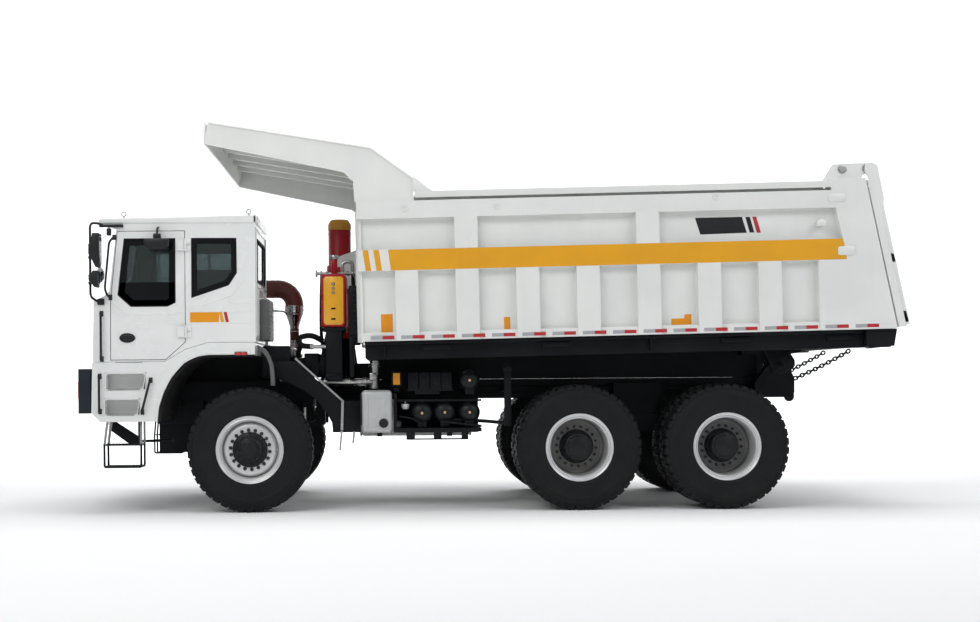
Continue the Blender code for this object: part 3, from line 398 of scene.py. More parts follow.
def grouped(tree, group, **values):
    made = put(tree, "ShaderNodeGroup", node_tree=group)
    for name, value in values.items():
        made.inputs[name.replace("_", " ").title()].default_value = value
    return made.outputs


def started(name):
    made = bpy.data.materials.new(name)
    made.use_nodes = True
    tree = made.node_tree
    return made, tree, tree.nodes["Principled BSDF"]


def join_up(tree, shader, **sockets):
    for name, value in sockets.items():
        tree.links.new(value, shader.inputs[name.replace("_", " ")])


def sprayed(name, colour, other, gloss=0.3, metal=0.0, coat=0.0, dust=0.4, clean_above=2.2, wear=0.3,
            under=(0.20, 0.19, 0.18),
            runs=0.0, grain=0.004, waviness=0.3, bump=0.05, dust_colour=(0.30, 0.26, 0.21), edge=0.008,
            shine=0.5):
    """Sprayed paint: two shades that drift, runs, dust low down, worn edges and orange peel."""
    made, tree, shader = started(name)
    skin = grouped(tree, FINE_GRAIN, grain_size=grain, waviness=waviness)
    dirt = grouped(tree, ROAD_DUST, clean_above=clean_above, amount=dust)["Dust"]
    tint = blended(tree, between(tree, skin["Shade"], 0.36, 0.64), colour, other)
    if runs:
        marks = grouped(tree, RAIN_RUNS, amount=runs)["Runs"]
        tint = blended(tree, marks, tint, tuple(c * 0.62 for c in colour))
    tint = blended(tree, dirt, tint, dust_colour)
    rough = maths(tree, "ADD", between(tree, skin["Shade"], 0.3, 0.7, gloss * 0.85, gloss * 1.2),
                  maths(tree, "MULTIPLY", dirt, 0.45))
    if wear:
        rubbed = grouped(tree, RUBBED_EDGES, amount=wear, width=edge)["Wear"]
        tint = blended(tree, rubbed, tint, under)
        rough = maths(tree, "ADD", rough, maths(tree, "MULTIPLY", rubbed, 0.2), clamp=True)
    bumped = put(tree, "ShaderNodeBump",
                 {"Height": skin["Height"], "Strength": bump, "Distance": 0.004}).outputs[0]
    join_up(tree, shader, Base_Color=tint, Roughness=rough, Normal=bumped)
    shader.inputs["Metallic"].default_value = metal
    shader.inputs["Specular IOR Level"].default_value = shine
    shader.inputs["Coat Weight"].default_value = coat
    shader.inputs["Coat Roughness"].default_value = 0.08
    return made


def tyre_rubber():
    """Dark rubber with a dusty bloom in its tread and fine moulding rings on its wall."""
    made, tree, shader = started("tyre_rubber_moulded")
    skin = grouped(tree, FINE_GRAIN, grain_size=0.006, waviness=0.2)
    dirt = grouped(tree, ROAD_DUST, ground=-0.2, clean_above=1.9, amount=0.42)["Dust"]
    place = put(tree, "ShaderNodeTexCoord").outputs["Object"]
    bloom = put(tree, "ShaderNodeTexNoise",
                {"Vector": place, "Scale": 5.0, "Detail": 6.0, "Roughness": 0.65}).outputs[0]
    tint = blended(tree, between(tree, bloom, 0.35, 0.68), (0.0045, 0.0054, 0.0062), (0.0088, 0.0100, 0.0112))
    tint = blended(tree, dirt, tint, (0.024, 0.022, 0.019))
    rough = between(tree, bloom, 0.3, 0.7, 0.52, 0.72)
    bumped = put(tree, "ShaderNodeBump",
                 {"Height": skin["Height"], "Strength": 0.22, "Distance": 0.003}).outputs[0]
    join_up(tree, shader, Base_Color=tint, Roughness=rough, Normal=bumped)
    shader.inputs["Specular IOR Level"].default_value = 0.20
    return made


def dark_glass():
    """Tinted safety glass with a faint film of dust."""
    made, tree, shader = started("tinted_cab_glass")
    dirt = grouped(tree, ROAD_DUST, ground=1.6, clean_above=4.2, amount=0.10)["Dust"]
    join_up(tree, shader, Base_Color=blended(tree, dirt, (0.20, 0.25, 0.25), (0.22, 0.21, 0.19)),
            Roughness=between(tree, dirt, 0.0, 0.3, 0.02, 0.25))
    shader.inputs["Transmission Weight"].default_value = 0.92
    shader.inputs["IOR"].default_value = 1.45
    shader.inputs["Specular IOR Level"].default_value = 0.25
    return made


def bright_metal(name, colour, gloss, brushed=0.0, dust=0.15):
    """Bare metal with brush lines, dull patches and a little dust."""
    made, tree, shader = started(name)
    place = put(tree, "ShaderNodeTexCoord").outputs["Object"]
    lines = put(tree, "ShaderNodeMapping", {"Vector": place, "Scale": (3.0, 3.0, 90.0)}).outputs[0]
    brush = put(tree, "ShaderNodeTexNoise", {"Vector": lines, "Scale": 6.0, "Detail": 4.0}).outputs[0]
    dull = put(tree, "ShaderNodeTexNoise", {"Vector": place, "Scale": 7.0, "Detail": 6.0}).outputs[0]
    dirt = grouped(tree, ROAD_DUST, clean_above=3.0, amount=dust)["Dust"]
    tint = blended(tree, between(tree, dull, 0.35, 0.7), colour, tuple(c * 0.72 for c in colour))
    tint = blended(tree, dirt, tint, (0.24, 0.21, 0.17))
    rough = maths(tree, "ADD", between(tree, dull, 0.3, 0.7, gloss, gloss * 1.7),
                  maths(tree, "MULTIPLY", dirt, 0.4))
    bumped = put(tree, "ShaderNodeBump", {"Height": brush, "Strength": brushed, "Distance": 0.001}).outputs[0]
    join_up(tree, shader, Base_Color=tint, Roughness=rough, Normal=bumped)
    shader.inputs["Metallic"].default_value = 1.0
    return made


def cell_reflector(name, colour, shine):
    """Reflecting tape or a lamp lens with its small cells."""
    made, tree, shader = started(name)
    place = put(tree, "ShaderNodeTexCoord").outputs["Object"]
    cells = put(tree, "ShaderNodeTexVoronoi", {"Vector": place, "Scale": 110.0},
                feature="DISTANCE_TO_EDGE").outputs["Distance"]
    dull = put(tree, "ShaderNodeTexNoise", {"Vector": place, "Scale": 12.0, "Detail": 5.0}).outputs[0]
    tint = blended(tree, between(tree, cells, 0.0, 0.12), tuple(c * 0.6 for c in colour), colour)
    tint = blended(tree, between(tree, dull, 0.5, 0.8, 0.0, 0.4), tint,
                   tuple(c * 0.75 + 0.05 for c in colour))
    bumped = put(tree, "ShaderNodeBump", {"Height": cells, "Strength": 0.3, "Distance": 0.001}).outputs[0]
    join_up(tree, shader, Base_Color=tint, Roughness=between(tree, dull, 0.3, 0.7, shine, shine * 1.8),
            Normal=bumped)
    shader.inputs["Coat Weight"].default_value = 0.6
    return made


def woven_seat():
    """Dark woven seat cloth."""
    made, tree, shader = started("seat_weave")
    place = put(tree, "ShaderNodeTexCoord").outputs["Object"]
    warp = put(tree, "ShaderNodeTexWave", {"Vector": place, "Scale": 75.0, "Distortion": 0.6},
               bands_direction="Y").outputs[1]
    weft = put(tree, "ShaderNodeTexWave", {"Vector": place, "Scale": 75.0, "Distortion": 0.6},
               bands_direction="DIAGONAL").outputs[1]
    weave = maths(tree, "MULTIPLY", warp, weft)
    fade = put(tree, "ShaderNodeTexNoise", {"Vector": place, "Scale": 6.0, "Detail": 5.0}).outputs[0]
    tint = blended(tree, weave, (0.018, 0.020, 0.024), (0.055, 0.058, 0.066))
    tint = blended(tree, between(tree, fade, 0.4, 0.7, 0.0, 0.5), tint, (0.075, 0.072, 0.070))
    bumped = put(tree, "ShaderNodeBump", {"Height": weave, "Strength": 0.5, "Distance": 0.002}).outputs[0]
    join_up(tree, shader, Base_Color=tint, Normal=bumped)
    shader.inputs["Roughness"].default_value = 0.9
    shader.inputs["Sheen Weight"].default_value = 0.4
    return made


WHITE = (0.80, 0.815, 0.80)
cab_white = sprayed("cab_white_gloss", WHITE, (0.76, 0.775, 0.765), 0.26, coat=0.5, dust=0.22,
                    clean_above=1.9, wear=0.12, runs=0.05,
                    under=(0.50, 0.50, 0.49), bump=0.03)
body_white = sprayed("ore_body_white", (0.79, 0.80, 0.775), (0.74, 0.752, 0.73), 0.34, coat=0.2, dust=0.20,
                     clean_above=2.5, wear=0.16, runs=0.10,
                     under=(0.45, 0.45, 0.44), bump=0.06, waviness=0.6)
stripe_yellow = sprayed("stripe_yellow", (0.78, 0.36, 0.002), (0.72, 0.33, 0.002), 0.36, coat=0.2,
                        dust=0.08, wear=0.0, runs=0.08)
plate_orange = sprayed("plate_orange", (0.80, 0.30, 0.002), (0.74, 0.28, 0.002), 0.35, dust=0.10, wear=0.0)
hoist_red = sprayed("hoist_deep_red", (0.40, 0.003, 0.010), (0.31, 0.002, 0.007), 0.30, coat=0.15,
                    dust=0.03, wear=0.2, shine=0.3, under=(0.10, 0.03, 0.02))
cap_ochre = sprayed("cap_ochre", (0.62, 0.28, 0.02), (0.55, 0.24, 0.015), 0.35, dust=0.2, wear=0.35)
tank_yellow = sprayed("tank_face_yellow", (0.85, 0.42, 0.004), (0.80, 0.39, 0.004), 0.30, coat=0.3,
                      dust=0.05, wear=0.0)
frame_black = sprayed("frame_black", (0.0050, 0.0062, 0.0080), (0.0085, 0.0098, 0.0115), 0.42, dust=0.16,
                      clean_above=1.9, wear=0.22, under=(0.10, 0.10, 0.10),
                      dust_colour=(0.060, 0.056, 0.048), bump=0.12, edge=0.005, shine=0.13)
bumper_black = sprayed("bumper_blue_black", (0.008, 0.013, 0.019), (0.012, 0.018, 0.025), 0.5, dust=0.14,
                       shine=0.25, clean_above=1.8, wear=0.2,
                       under=(0.07, 0.07, 0.08), dust_colour=(0.11, 0.10, 0.085), grain=0.003, bump=0.2)
trim_black = sprayed("trim_black_plastic", (0.009, 0.010, 0.012), (0.014, 0.015, 0.018), 0.45, dust=0.08,
                     wear=0.0, grain=0.002, bump=0.25, shine=0.3)
rubber_black = sprayed("seal_rubber_black", (0.006, 0.006, 0.007), (0.009, 0.009, 0.010), 0.7, dust=0.12,
                       wear=0.0, bump=0.15, shine=0.2)
rim_silver = sprayed("rim_silver_paint", (0.66, 0.67, 0.675), (0.60, 0.61, 0.615), 0.30, metal=0.35,
                     coat=0.3, dust=0.26, clean_above=1.4, wear=0.25,
                     under=(0.22, 0.20, 0.18), edge=0.005)
# Dark grey is the real colour of the cab's back box and the wing stays. On the rear wheels' dish and barrel it
# is painted shade on steel that is really the rims' silver.
grey_paint_and_dish_shade = sprayed("dark_grey_paint_dish_shade", (0.165, 0.165, 0.165), (0.125, 0.125, 0.125), 0.42, metal=0.3,
                    dust=0.6, clean_above=1.6, wear=0.2)
hub_black = sprayed("hub_black", (0.0060, 0.0075, 0.0085), (0.0090, 0.0105, 0.0115), 0.38, dust=0.08,
                    shine=0.25, clean_above=1.5, wear=0.2, under=(0.10, 0.10, 0.10),
                    dust_colour=(0.10, 0.09, 0.075))
nut_blue_black = sprayed("nut_blue_black", (0.010, 0.014, 0.022), (0.016, 0.020, 0.030), 0.3, metal=0.4,
                         dust=0.15, wear=0.2)
tank_silver = sprayed("tank_pale_silver", (0.52, 0.53, 0.535), (0.46, 0.47, 0.475), 0.38, metal=0.25,
                      dust=0.25, clean_above=2.0, wear=0.1)
duct_brown = sprayed("duct_brown_rubber", (0.175, 0.036, 0.027), (0.125, 0.026, 0.020), 0.42, dust=0.12,
                     wear=0.0, grain=0.012, bump=0.4)
glass_border = sprayed("glass_black_border", (0.0025, 0.0035, 0.0045), (0.004, 0.005, 0.006), 0.10,
                       coat=0.0, dust=0.01, wear=0.0, bump=0.0, shine=0.25)
tread_steel = bright_metal("step_tread_steel", (0.42, 0.43, 0.43), 0.35, 0.3, 0.4)
pipe_steel = bright_metal("pipe_steel", (0.55, 0.55, 0.54), 0.22, 0.15, 0.2)
chrome = bright_metal("polished_chrome", (0.75, 0.75, 0.75), 0.06, 0.05, 0.05)
plug_brass = bright_metal("plug_brass", (0.75, 0.55, 0.28), 0.3, 0.1, 0.1)
mirror_face = bright_metal("mirror_glass", (0.62, 0.64, 0.66), 0.04, 0.0, 0.05)
chain_steel = bright_metal("chain_steel", (0.028, 0.034, 0.028), 0.4, 0.2, 0.5)
tape_grey = cell_reflector("reflecting_tape_grey", (0.42, 0.43, 0.45), 0.3)
tape_red = cell_reflector("reflecting_tape_red", (0.50, 0.010, 0.018), 0.3)
lens_orange = cell_reflector("lens_orange", (0.80, 0.16, 0.01), 0.12)
lens_red = cell_reflector("lens_red", (0.62, 0.03, 0.02), 0.12)
tyre_finish, glass_finish, seat_finish = tyre_rubber(), dark_glass(), woven_seat()
# ---------------------------------------------------------------- wheels
def treaded_tyre(x, y, out):
    """A radial earthmover tyre: moulded wall, rim guard, and shoulder lugs that run in to the middle."""
    wall = [(0.372, 0.174), (0.392, 0.186), (0.405, 0.200), (0.428, 0.206), (0.436, 0.2095), (0.444, 0.207),
            (0.480, 0.2125),
            (0.540, 0.2150), (0.596, 0.2135), (0.602, 0.2165), (0.612, 0.2165), (0.618, 0.2115),
            (0.640, 0.2075), (0.662, 0.2010),
            (0.668, 0.1975), (0.682, 0.1930), (0.702, 0.1860), (0.718, 0.1760), (0.7275, 0.1600)]
    line = wall + [(r, -a) for r, a in reversed(wall)] + [(0.350, -0.165), (0.350, 0.165)]
    centre = (x, y, WHEEL_HEIGHT)
    carcass = turned(line, centre, "y", 96)
    lugs = []
    for side, turn in ((1, 0.0), (-1, math.pi / 42)):
        lug = outline([(0.684, 0.1975), (0.704, 0.1945), (0.729, 0.1845), (0.7415, 0.1700),
                       (0.7450, 0.1480), (0.7450, 0.0240),
                       (0.7120, 0.0160), (0.7100, 0.1500), (0.690, 0.1800)], -0.041, 0.041, "z", 0.0045, 1)
        placed(lug, Matrix.Scale(side, 4, (0, 1, 0)), Matrix.Translation(centre))
        bmesh.ops.recalc_face_normals(lug, faces=lug.faces)
        lugs.append(ring_of(lug, 42, centre, "Y", turn))
    stone = block(0.700, 0.7425, -0.012, 0.012, -0.030, 0.030, 0.004, 1)
    lugs.append(ring_of(placed(stone, Matrix.Rotation(0.5, 4, "X"), Matrix.Translation(centre)), 42, centre,
                        "Y", math.pi / 84))
    return joined(carcass, *lugs)


def out_from(profile, side):
    return [(r, a * side) for r, a in profile]


def front_wheel(side, word):
    centre = (FRONT_AXLE, side * FRONT_TRACK, WHEEL_HEIGHT)
    body = f"wheel_front_{word}"
    as_piece(f"front_tyre_{word}", treaded_tyre(*centre[:2], side), tyre_finish, body, "tyre_rubber",
             f"tyre_front_{word}")
    lip = [(0.4030, 0.1870), (0.4055, 0.1960), (0.3995, 0.2020), (0.3915, 0.2000), (0.3860, 0.1940),
           (0.3800, 0.1900), (0.3745, 0.1880),
           (0.3700, 0.1910), (0.3655, 0.1925), (0.3600, 0.1895), (0.3545, 0.1700), (0.3430, 0.1450),
           (0.3350, 0.1300), (0.3330, 0.0200),
           (0.3330, -0.1880), (0.3850, -0.2040), (0.4030, -0.1960), (0.4000, -0.1860), (0.3490, -0.1720),
           (0.3490, 0.1720)]
    disc = [(0.3340, 0.0600), (0.3210, 0.0800), (0.3100, 0.1120), (0.3000, 0.1240), (0.2880, 0.1290),
            (0.2700, 0.1300), (0.2120, 0.1300),
            (0.2100, 0.1150), (0.2600, 0.1000), (0.2880, 0.0900), (0.3000, 0.0500), (0.3340, 0.0300)]
    rim = [turned(out_from(lip, side), centre, "y", 72), turned(out_from(disc, side), centre, "y", 72)]
    valve = bar((FRONT_AXLE + 0.322, centre[1] + side * 0.09, WHEEL_HEIGHT),
                (FRONT_AXLE + 0.328, centre[1] + side * 0.19, WHEEL_HEIGHT), 0.008, 10)
    as_piece(f"front_rim_{word}", joined(*rim, valve), rim_silver, body, "rim_silver", f"rim_front_{word}")
    nut = joined(bar((0.234, side * 0.128, 0), (0.234, side * 0.158, 0), 0.0175, 6, 0.003),
                 bar((0.234, side * 0.150, 0), (0.234, side * 0.170, 0), 0.0125, 12, 0.003),
                 bar((0.234, side * 0.128, 0), (0.234, side * 0.135, 0), 0.0225, 16))
    as_piece(f"front_wheel_nuts_{word}",
             ring_of(placed(nut, Matrix.Translation(centre)), 18, centre, "Y", 0.1), nut_blue_black, body,
             "chassis_black")
    hub = [(0.0, 0.2660), (0.0880, 0.2660), (0.0930, 0.2610), (0.0950, 0.2420), (0.1080, 0.2380),
           (0.1120, 0.2100), (0.1500, 0.1960),
           (0.1560, 0.1900), (0.1600, 0.1700), (0.1960, 0.1620), (0.2050, 0.1560), (0.2080, 0.1400),
           (0.2080, 0.1000), (0.0, 0.1000)]
    rib = outline([(0.098, 0.2360), (0.110, 0.2360), (0.186, 0.1860), (0.198, 0.1640), (0.198, 0.1560),
                   (0.098, 0.1560)], -0.006, 0.006, "z", 0.0025, 1)
    placed(rib, Matrix.Scale(side, 4, (0, 1, 0)), Matrix.Translation(centre))
    bmesh.ops.recalc_face_normals(rib, faces=rib.faces)
    cap_bolts = ring_of(bolt((FRONT_AXLE + 0.074, centre[1] + side * 0.266, WHEEL_HEIGHT), 0.007, 0.005,
                             (0, side, 0)), 6, centre)
    as_piece(f"front_hub_{word}",
             joined(turned(out_from(hub, side), centre, "y", 48, False), ring_of(rib, 12, centre),
                    cap_bolts), hub_black, body, "chassis_black")


def twin_wheel(x, place, side, word):
    """Two tyres on deep-dished rims, with the hub reduction standing out of the dish."""
    body = f"wheel_{place}_{word}"
    outer = (x, side * OUTER_DUAL, WHEEL_HEIGHT)
    inner = (x, side * INNER_DUAL, WHEEL_HEIGHT)
    as_piece(f"{place}_outer_tyre_{word}", treaded_tyre(x, outer[1], side), tyre_finish, body,
             "tyre_rubber", f"tyre_{place}_{word}_outer")
    as_piece(f"{place}_inner_tyre_{word}", treaded_tyre(x, inner[1], side), tyre_finish, body,
             "tyre_rubber", f"tyre_{place}_{word}_inner")
    lip = [(0.4030, 0.1870), (0.4055, 0.1960), (0.3995, 0.2020), (0.3915, 0.2000), (0.3870, 0.1950),
           (0.3820, 0.1930), (0.3760, 0.1950),
           (0.3700, 0.1900), (0.3620, 0.1820), (0.3560, 0.1700), (0.3480, 0.1550), (0.3400, 0.1400)]
    back = [(0.3850, -0.2040), (0.4030, -0.1960), (0.4000, -0.1860), (0.3490, -0.1720), (0.3490, 0.1720)]
    outer_rim = lip + [(0.3360, 0.0900), (0.3340, -0.1000), (0.3330, -0.1600), (0.3330, -0.1880)] + back
    inner_rim = [(0.3330, 0.1880), (0.3850, 0.2040), (0.4030, 0.1960), (0.4000, 0.1860), (0.3490, 0.1720),
                 (0.3490, -0.1720),
                 (0.4000, -0.1860), (0.4030, -0.1960), (0.3850, -0.2040), (0.3330, -0.1880)]
    as_piece(f"{place}_rims_{word}",
             joined(turned(out_from(outer_rim, side), outer, "y", 72),
                    turned(out_from(inner_rim, side), inner, "y", 64)),
             rim_silver, body, "rim_silver", f"rim_{place}_{word}")
    # The dish and the inside of the barrel are drawn dark grey: painted shade on the rims' silver steel deep in
    # the wheel.
    dish = [(0.3335, -0.1300), (0.3180, -0.1500), (0.2980, -0.1580), (0.2860, -0.1560), (0.2800, -0.1500),
            (0.2000, -0.1500), (0.2000, -0.1750), (0.3335, -0.1800)]
    barrel = [(0.3335, -0.31), (0.3335, -0.19), (0.30, -0.19), (0.30, -0.31)]
    as_piece(f"{place}_dish_{word}",
             joined(turned(out_from(dish, side), outer, "y", 64),
                    turned(out_from(barrel, side), outer, "y", 48)),
             grey_paint_and_dish_shade, body, "rim_silver")
    nut = joined(bar((0.240, side * -0.152, 0), (0.240, side * -0.118, 0), 0.0190, 6, 0.003),
                 bar((0.240, side * -0.125, 0), (0.240, side * -0.100, 0), 0.0125, 10, 0.002))
    as_piece(f"{place}_wheel_nuts_{word}",
             ring_of(placed(nut, Matrix.Translation(outer)), 18, outer, "Y", 0.07), nut_blue_black, body,
             "chassis_black")
    hub = [(0.0, 0.0980), (0.1180, 0.0980), (0.1260, 0.0930), (0.1300, 0.0820), (0.1500, 0.0800),
           (0.1600, 0.0720), (0.1720, 0.0250), (0.1780, -0.0500),
           (0.1900, -0.0560), (0.1920, -0.1300), (0.2050, -0.1360), (0.2060, -0.2000), (0.0, -0.2000)]
    studs = ring_of(bolt((x + 0.150, outer[1] + side * 0.078, WHEEL_HEIGHT), 0.009, 0.010, (0, side, 0)),
                    16, outer)
    drain = bolt((x + 0.05, outer[1] + side * 0.098, WHEEL_HEIGHT), 0.016, 0.012, (0, side, 0))
    as_piece(f"{place}_hub_{word}",
             joined(turned(out_from(hub, side), outer, "y", 48, False), studs, drain), hub_black, body,
             "chassis_black")


for side, word in SIDES:
    front_wheel(side, word)
    twin_wheel(MID_AXLE, "mid", side, word)
    twin_wheel(REAR_AXLE, "rear", side, word)
# ---------------------------------------------------------------- ore body
def in_body_lines(shape):
    """From the body's own lines, along u and up w, to the truck."""
    return placed(shape, BODY_HINGE_LINES)


def on_body(name, shape, finish, slot, *stands_for):
    return as_piece(name, in_body_lines(shape), finish, "dump_body", slot, *stands_for)


def skin_plate(side, outline_points, thick=0.0016, lift=0.0004, reach=BODY_SIDE):
    """A thin painted or stuck-on plate against the body's side."""
    low, high = sorted((side * (reach + lift), side * (reach + lift + thick)))
    return outline(outline_points, low, high, "y")


softened("body_tub", body_white, "white_paint", 0.007)
softened("canopy", body_white, "white_paint", 0.007)
softened("tailgate", body_white, "white_paint", 0.007)
for node in ("body_underframe", "body_sill_left", "body_sill_right"):
    softened(node, frame_black, "chassis_black", 0.004)

STRIPE_LOW, STRIPE_HIGH = 1.213, 1.457
STRIPE_START, STRIPE_END = -4.819, 0.533
stripe = [(STRIPE_START + 0.028, STRIPE_LOW), (0.574, STRIPE_LOW), (STRIPE_END, STRIPE_HIGH),
          (STRIPE_START, STRIPE_HIGH)]
bars = [[(a + 0.032, STRIPE_LOW), (a + 0.097, STRIPE_LOW), (a + 0.065, STRIPE_HIGH),
         (a, STRIPE_HIGH)] for a in (-5.119, -4.992)]
on_body("side_stripes", mirrored(lambda side: joined(*[skin_plate(side, shape) for shape in (stripe,
        *bars)])), stripe_yellow, "yellow_paint")

# Reflecting strips along the foot of the side, one to each rib and pocket
TAPE_FOOT, TAPE_TOP = 0.405, 0.446
starts = [-5.046 + 0.3563 * n for n in range(17)]


def tape(part):
    """Part 0 is the front half of each strip, part 1 the back half."""
    def maker(side):
        runs = []
        for n, start in enumerate(starts):
            a = start + 0.138 * part
            reach = BODY_SIDE if n % 2 or n == 0 or start > 0.2 else BODY_SIDE - 0.02
            runs.append(skin_plate(side,
                                   [(a, TAPE_FOOT), (a + 0.138, TAPE_FOOT), (a + 0.138, TAPE_TOP),
                                    (a, TAPE_TOP)], 0.0012, 0.0004, reach))
        return joined(*runs)
    return mirrored(maker)


on_body("reflecting_strips_grey", tape(0), tape_grey, "rim_silver")
on_body("reflecting_strips_red", tape(1), tape_red, "red_paint")

# Blank plates on the side
badge = [(-1.120, 1.555), (-0.571, 1.563), (-0.624, 1.751), (-1.178, 1.753)]
dark_slant = [(-0.535, 1.564), (-0.482, 1.564), (-0.530, 1.749), (-0.583, 1.750)]
red_slant = [(-0.452, 1.560), (-0.404, 1.560), (-0.454, 1.750), (-0.501, 1.751)]
WALL_FACE = 1.885
on_body("blank_badge_plates", mirrored(lambda side: joined(*[skin_plate(side, shape, 0.003, 0.0004,
        WALL_FACE) for shape in (badge, dark_slant)])), trim_black, "black_plastic")
on_body("badge_red_slant", mirrored(lambda side: skin_plate(side, red_slant, 0.003, 0.0004, WALL_FACE)),
        tape_red, "red_paint")
labels = [[(-4.921, 0.489), (-4.785, 0.489), (-4.785, 0.705), (-4.921, 0.705)],
          [(-3.468, 0.489), (-3.394, 0.489), (-3.394, 0.637), (-3.468, 0.637)],
          [(-1.490, 0.489), (-1.251, 0.489), (-1.251, 0.616), (-1.333, 0.616), (-1.333, 0.568),
           (-1.488, 0.568)]]
on_body("blank_label_plates", mirrored(lambda side: joined(*[skin_plate(side, shape, 0.002, 0.0004,
        WALL_FACE) for shape in labels])), plate_orange, "yellow_paint")


def side_fittings(side):
    """Oblong backing plates, ports, a lifting lug and two bolt heads on the side."""
    out = side * BODY_SIDE
    low, high = sorted((out - side * 0.004, out + side * 0.012))
    parts = [outline([(0.372, 1.905), (0.388, 1.890), (0.552, 1.890), (0.568, 1.905), (0.568, 1.965),
                      (0.552, 1.985), (0.388, 1.985), (0.372, 1.965)], low, high, "y", 0.003),
             outline([(0.470, 1.275), (0.486, 1.260), (0.650, 1.260), (0.666, 1.275), (0.666, 1.345),
                      (0.650, 1.365), (0.486, 1.365), (0.470, 1.345)], low, high, "y", 0.003)]
    for u, w in ((-3.525, 1.945), (-0.95, 1.990), (-4.62, 1.945)):
        ring = turned([(0.020, -0.012), (0.041, -0.012), (0.043, 0.006), (0.036, 0.012), (0.022, 0.012)],
                      (u, out, w), "y", 28)
        parts.append(ring)
    lug = outline([(0.235, 1.615), (0.330, 1.615), (0.330, 1.660), (0.300, 1.690), (0.262, 1.690),
                   (0.235, 1.660)], *sorted((out - side * 0.12, out + side * 0.014)), "y", 0.003)
    parts.append(lug)
    for end in (0.262, 0.790):
        parts.append(bolt((end + 0.06, out + side * 0.004, 2.06), 0.017, 0.012, (0, side, 0)))
    return joined(*parts)


on_body("side_fittings", mirrored(side_fittings), body_white, "white_paint")


def weld_beads(side):
    """Fillet welds where ribs meet the wall and the rails."""
    beads = []
    wall = side * 1.887
    for k in range(7):
        left = -4.745 + 0.7125 * k
        for u in (left - 0.002, left + 0.274):
            beads.append(bar((u, wall, 0.49), (u, wall, 1.205), 0.006, 8))
    for left in (-4.03, -1.895):
        for u in (left - 0.002, left + 0.274):
            beads.append(bar((u, wall, 1.465), (u, wall, 1.82), 0.006, 8))
    for w in (1.207, 1.463, 1.822):
        beads.append(bar((-4.89, wall, w), (0.50, wall, w), 0.006, 8))
    beads.append(bar((-4.74, wall, 0.488), (0.24, wall, 0.488), 0.006, 8))
    return joined(*beads)


on_body("weld_beads", mirrored(weld_beads), body_white, "white_paint")


def canopy_stiffeners(side):
    """Pressed flanges round the canopy's side plate and the front lip."""
    low, high = sorted((side * 1.978, side * 1.992))
    rim = [(-6.896, 3.020), (-6.846, 3.004), (-4.993, 2.666), (-4.508, 2.298), (-4.520, 2.282),
           (-5.002, 2.648), (-6.852, 2.984), (-6.884, 2.992)]
    foot = [(-6.940, 2.770), (-6.890, 2.758), (-5.306, 2.398), (-5.220, 2.290), (-5.232, 2.282),
            (-5.318, 2.382), (-6.892, 2.742), (-6.944, 2.756)]
    return joined(outline(rim, low, high, "y", 0.003), outline(foot, low, high, "y", 0.003))


on_body("canopy_rims", joined(mirrored(canopy_stiffeners),
                              block(-6.958, -6.930, -1.985, 1.985, 2.755, 3.020, 0.006)), body_white,
                              "white_paint")


def gusset(side):
    """The rounded plate that ties the canopy to the side rail."""
    low, high = sorted((side * 1.966, side * 1.990))
    return joined(outline([(-4.512, 2.300), (-4.486, 2.312), (-4.330, 2.178), (-4.270, 2.138),
                           (-4.512, 2.138)], low, high, "y", 0.003))


on_body("canopy_gussets", mirrored(gusset), body_white, "white_paint")


def skirt_boxes(side):
    """Small sockets and gussets under the body's foot rail."""
    face = side * 1.800
    parts = []
    for u in (-4.45, -3.03, -0.9, 0.35):
        low, high = sorted((face - side * 0.010, face + side * 0.030))
        parts.append(outline([(u, 0.330), (u + 0.36, 0.330), (u + 0.34, 0.270), (u + 0.02, 0.270)], low,
                             high, "y", 0.004))
    for u in (-1.74, -4.9, 0.9):
        parts.append(block(u, u + 0.02, *sorted((face, side * 1.88)), 0.200, 0.383, 0.003))
    low, high = sorted((side * 1.76, side * 1.93))
    parts.append(outline([(0.80, 0.383), (1.168, 0.383), (1.130, 0.182), (0.855, 0.157), (0.80, 0.180)],
                         low, high, "y", 0.004))
    parts.append(block(-5.12, 0.82, *sorted((side * 1.80, side * 1.88)), 0.345, 0.3845, 0.004))
    return joined(*parts)


on_body("skirt_brackets", mirrored(skirt_boxes), frame_black, "chassis_black")


def gate_hangers(side):
    """Pins, washers and nuts of the tailgate's top pivots."""
    parts = []
    for u in (0.559, 0.846):
        parts.append(turned([(0.0, 0.0), (0.052, 0.0), (0.052, 0.010), (0.036, 0.012), (0.034, 0.024),
                             (0.0, 0.024)], (u, side * 1.942, 2.280), "y", 24, False)
                     if side > 0 else turned([(0.0, 0.0), (0.052, 0.0), (0.052, -0.010), (0.036, -0.012),
                             (0.034, -0.024), (0.0, -0.024)], (u, side * 1.942, 2.280), "y", 24, False))
    return joined(*parts)


on_body("gate_pivot_pins", mirrored(gate_hangers), pipe_steel, "polished_steel")


def gate_ribs(side=None):
    """Ribs on the back of the tailgate, which slopes with the body's tail."""
    slope = (1.258 - 0.925) / (2.14 - 0.407)
    parts = []
    for w0, w1 in ((0.45, 0.60), (1.16, 1.28), (1.98, 2.11)):
        a, b = 1.258 - slope * (w0 - 0.407), 1.258 - slope * (w1 - 0.407)
        parts.append(outline([(a - 0.004, w0), (a + 0.045, w0 + 0.012), (b + 0.045, w1 - 0.012),
                              (b - 0.004, w1)], -1.975, 1.975, "y", 0.004))
    for y in (-1.93, -1.15, -0.38, 0.38, 1.15, 1.93):
        foot, head = 1.258 - slope * (0.42 - 0.407), 1.258 - slope * (2.12 - 0.407)
        parts.append(outline([(foot - 0.004, 0.42), (foot + 0.050, 0.432), (head + 0.050, 2.108),
                              (head - 0.004, 2.12)], y - 0.045, y + 0.045, "y", 0.004))
    return joined(*parts)


as_piece("tailgate_ribs", in_body_lines(gate_ribs()), body_white, "tailgate", "white_paint")


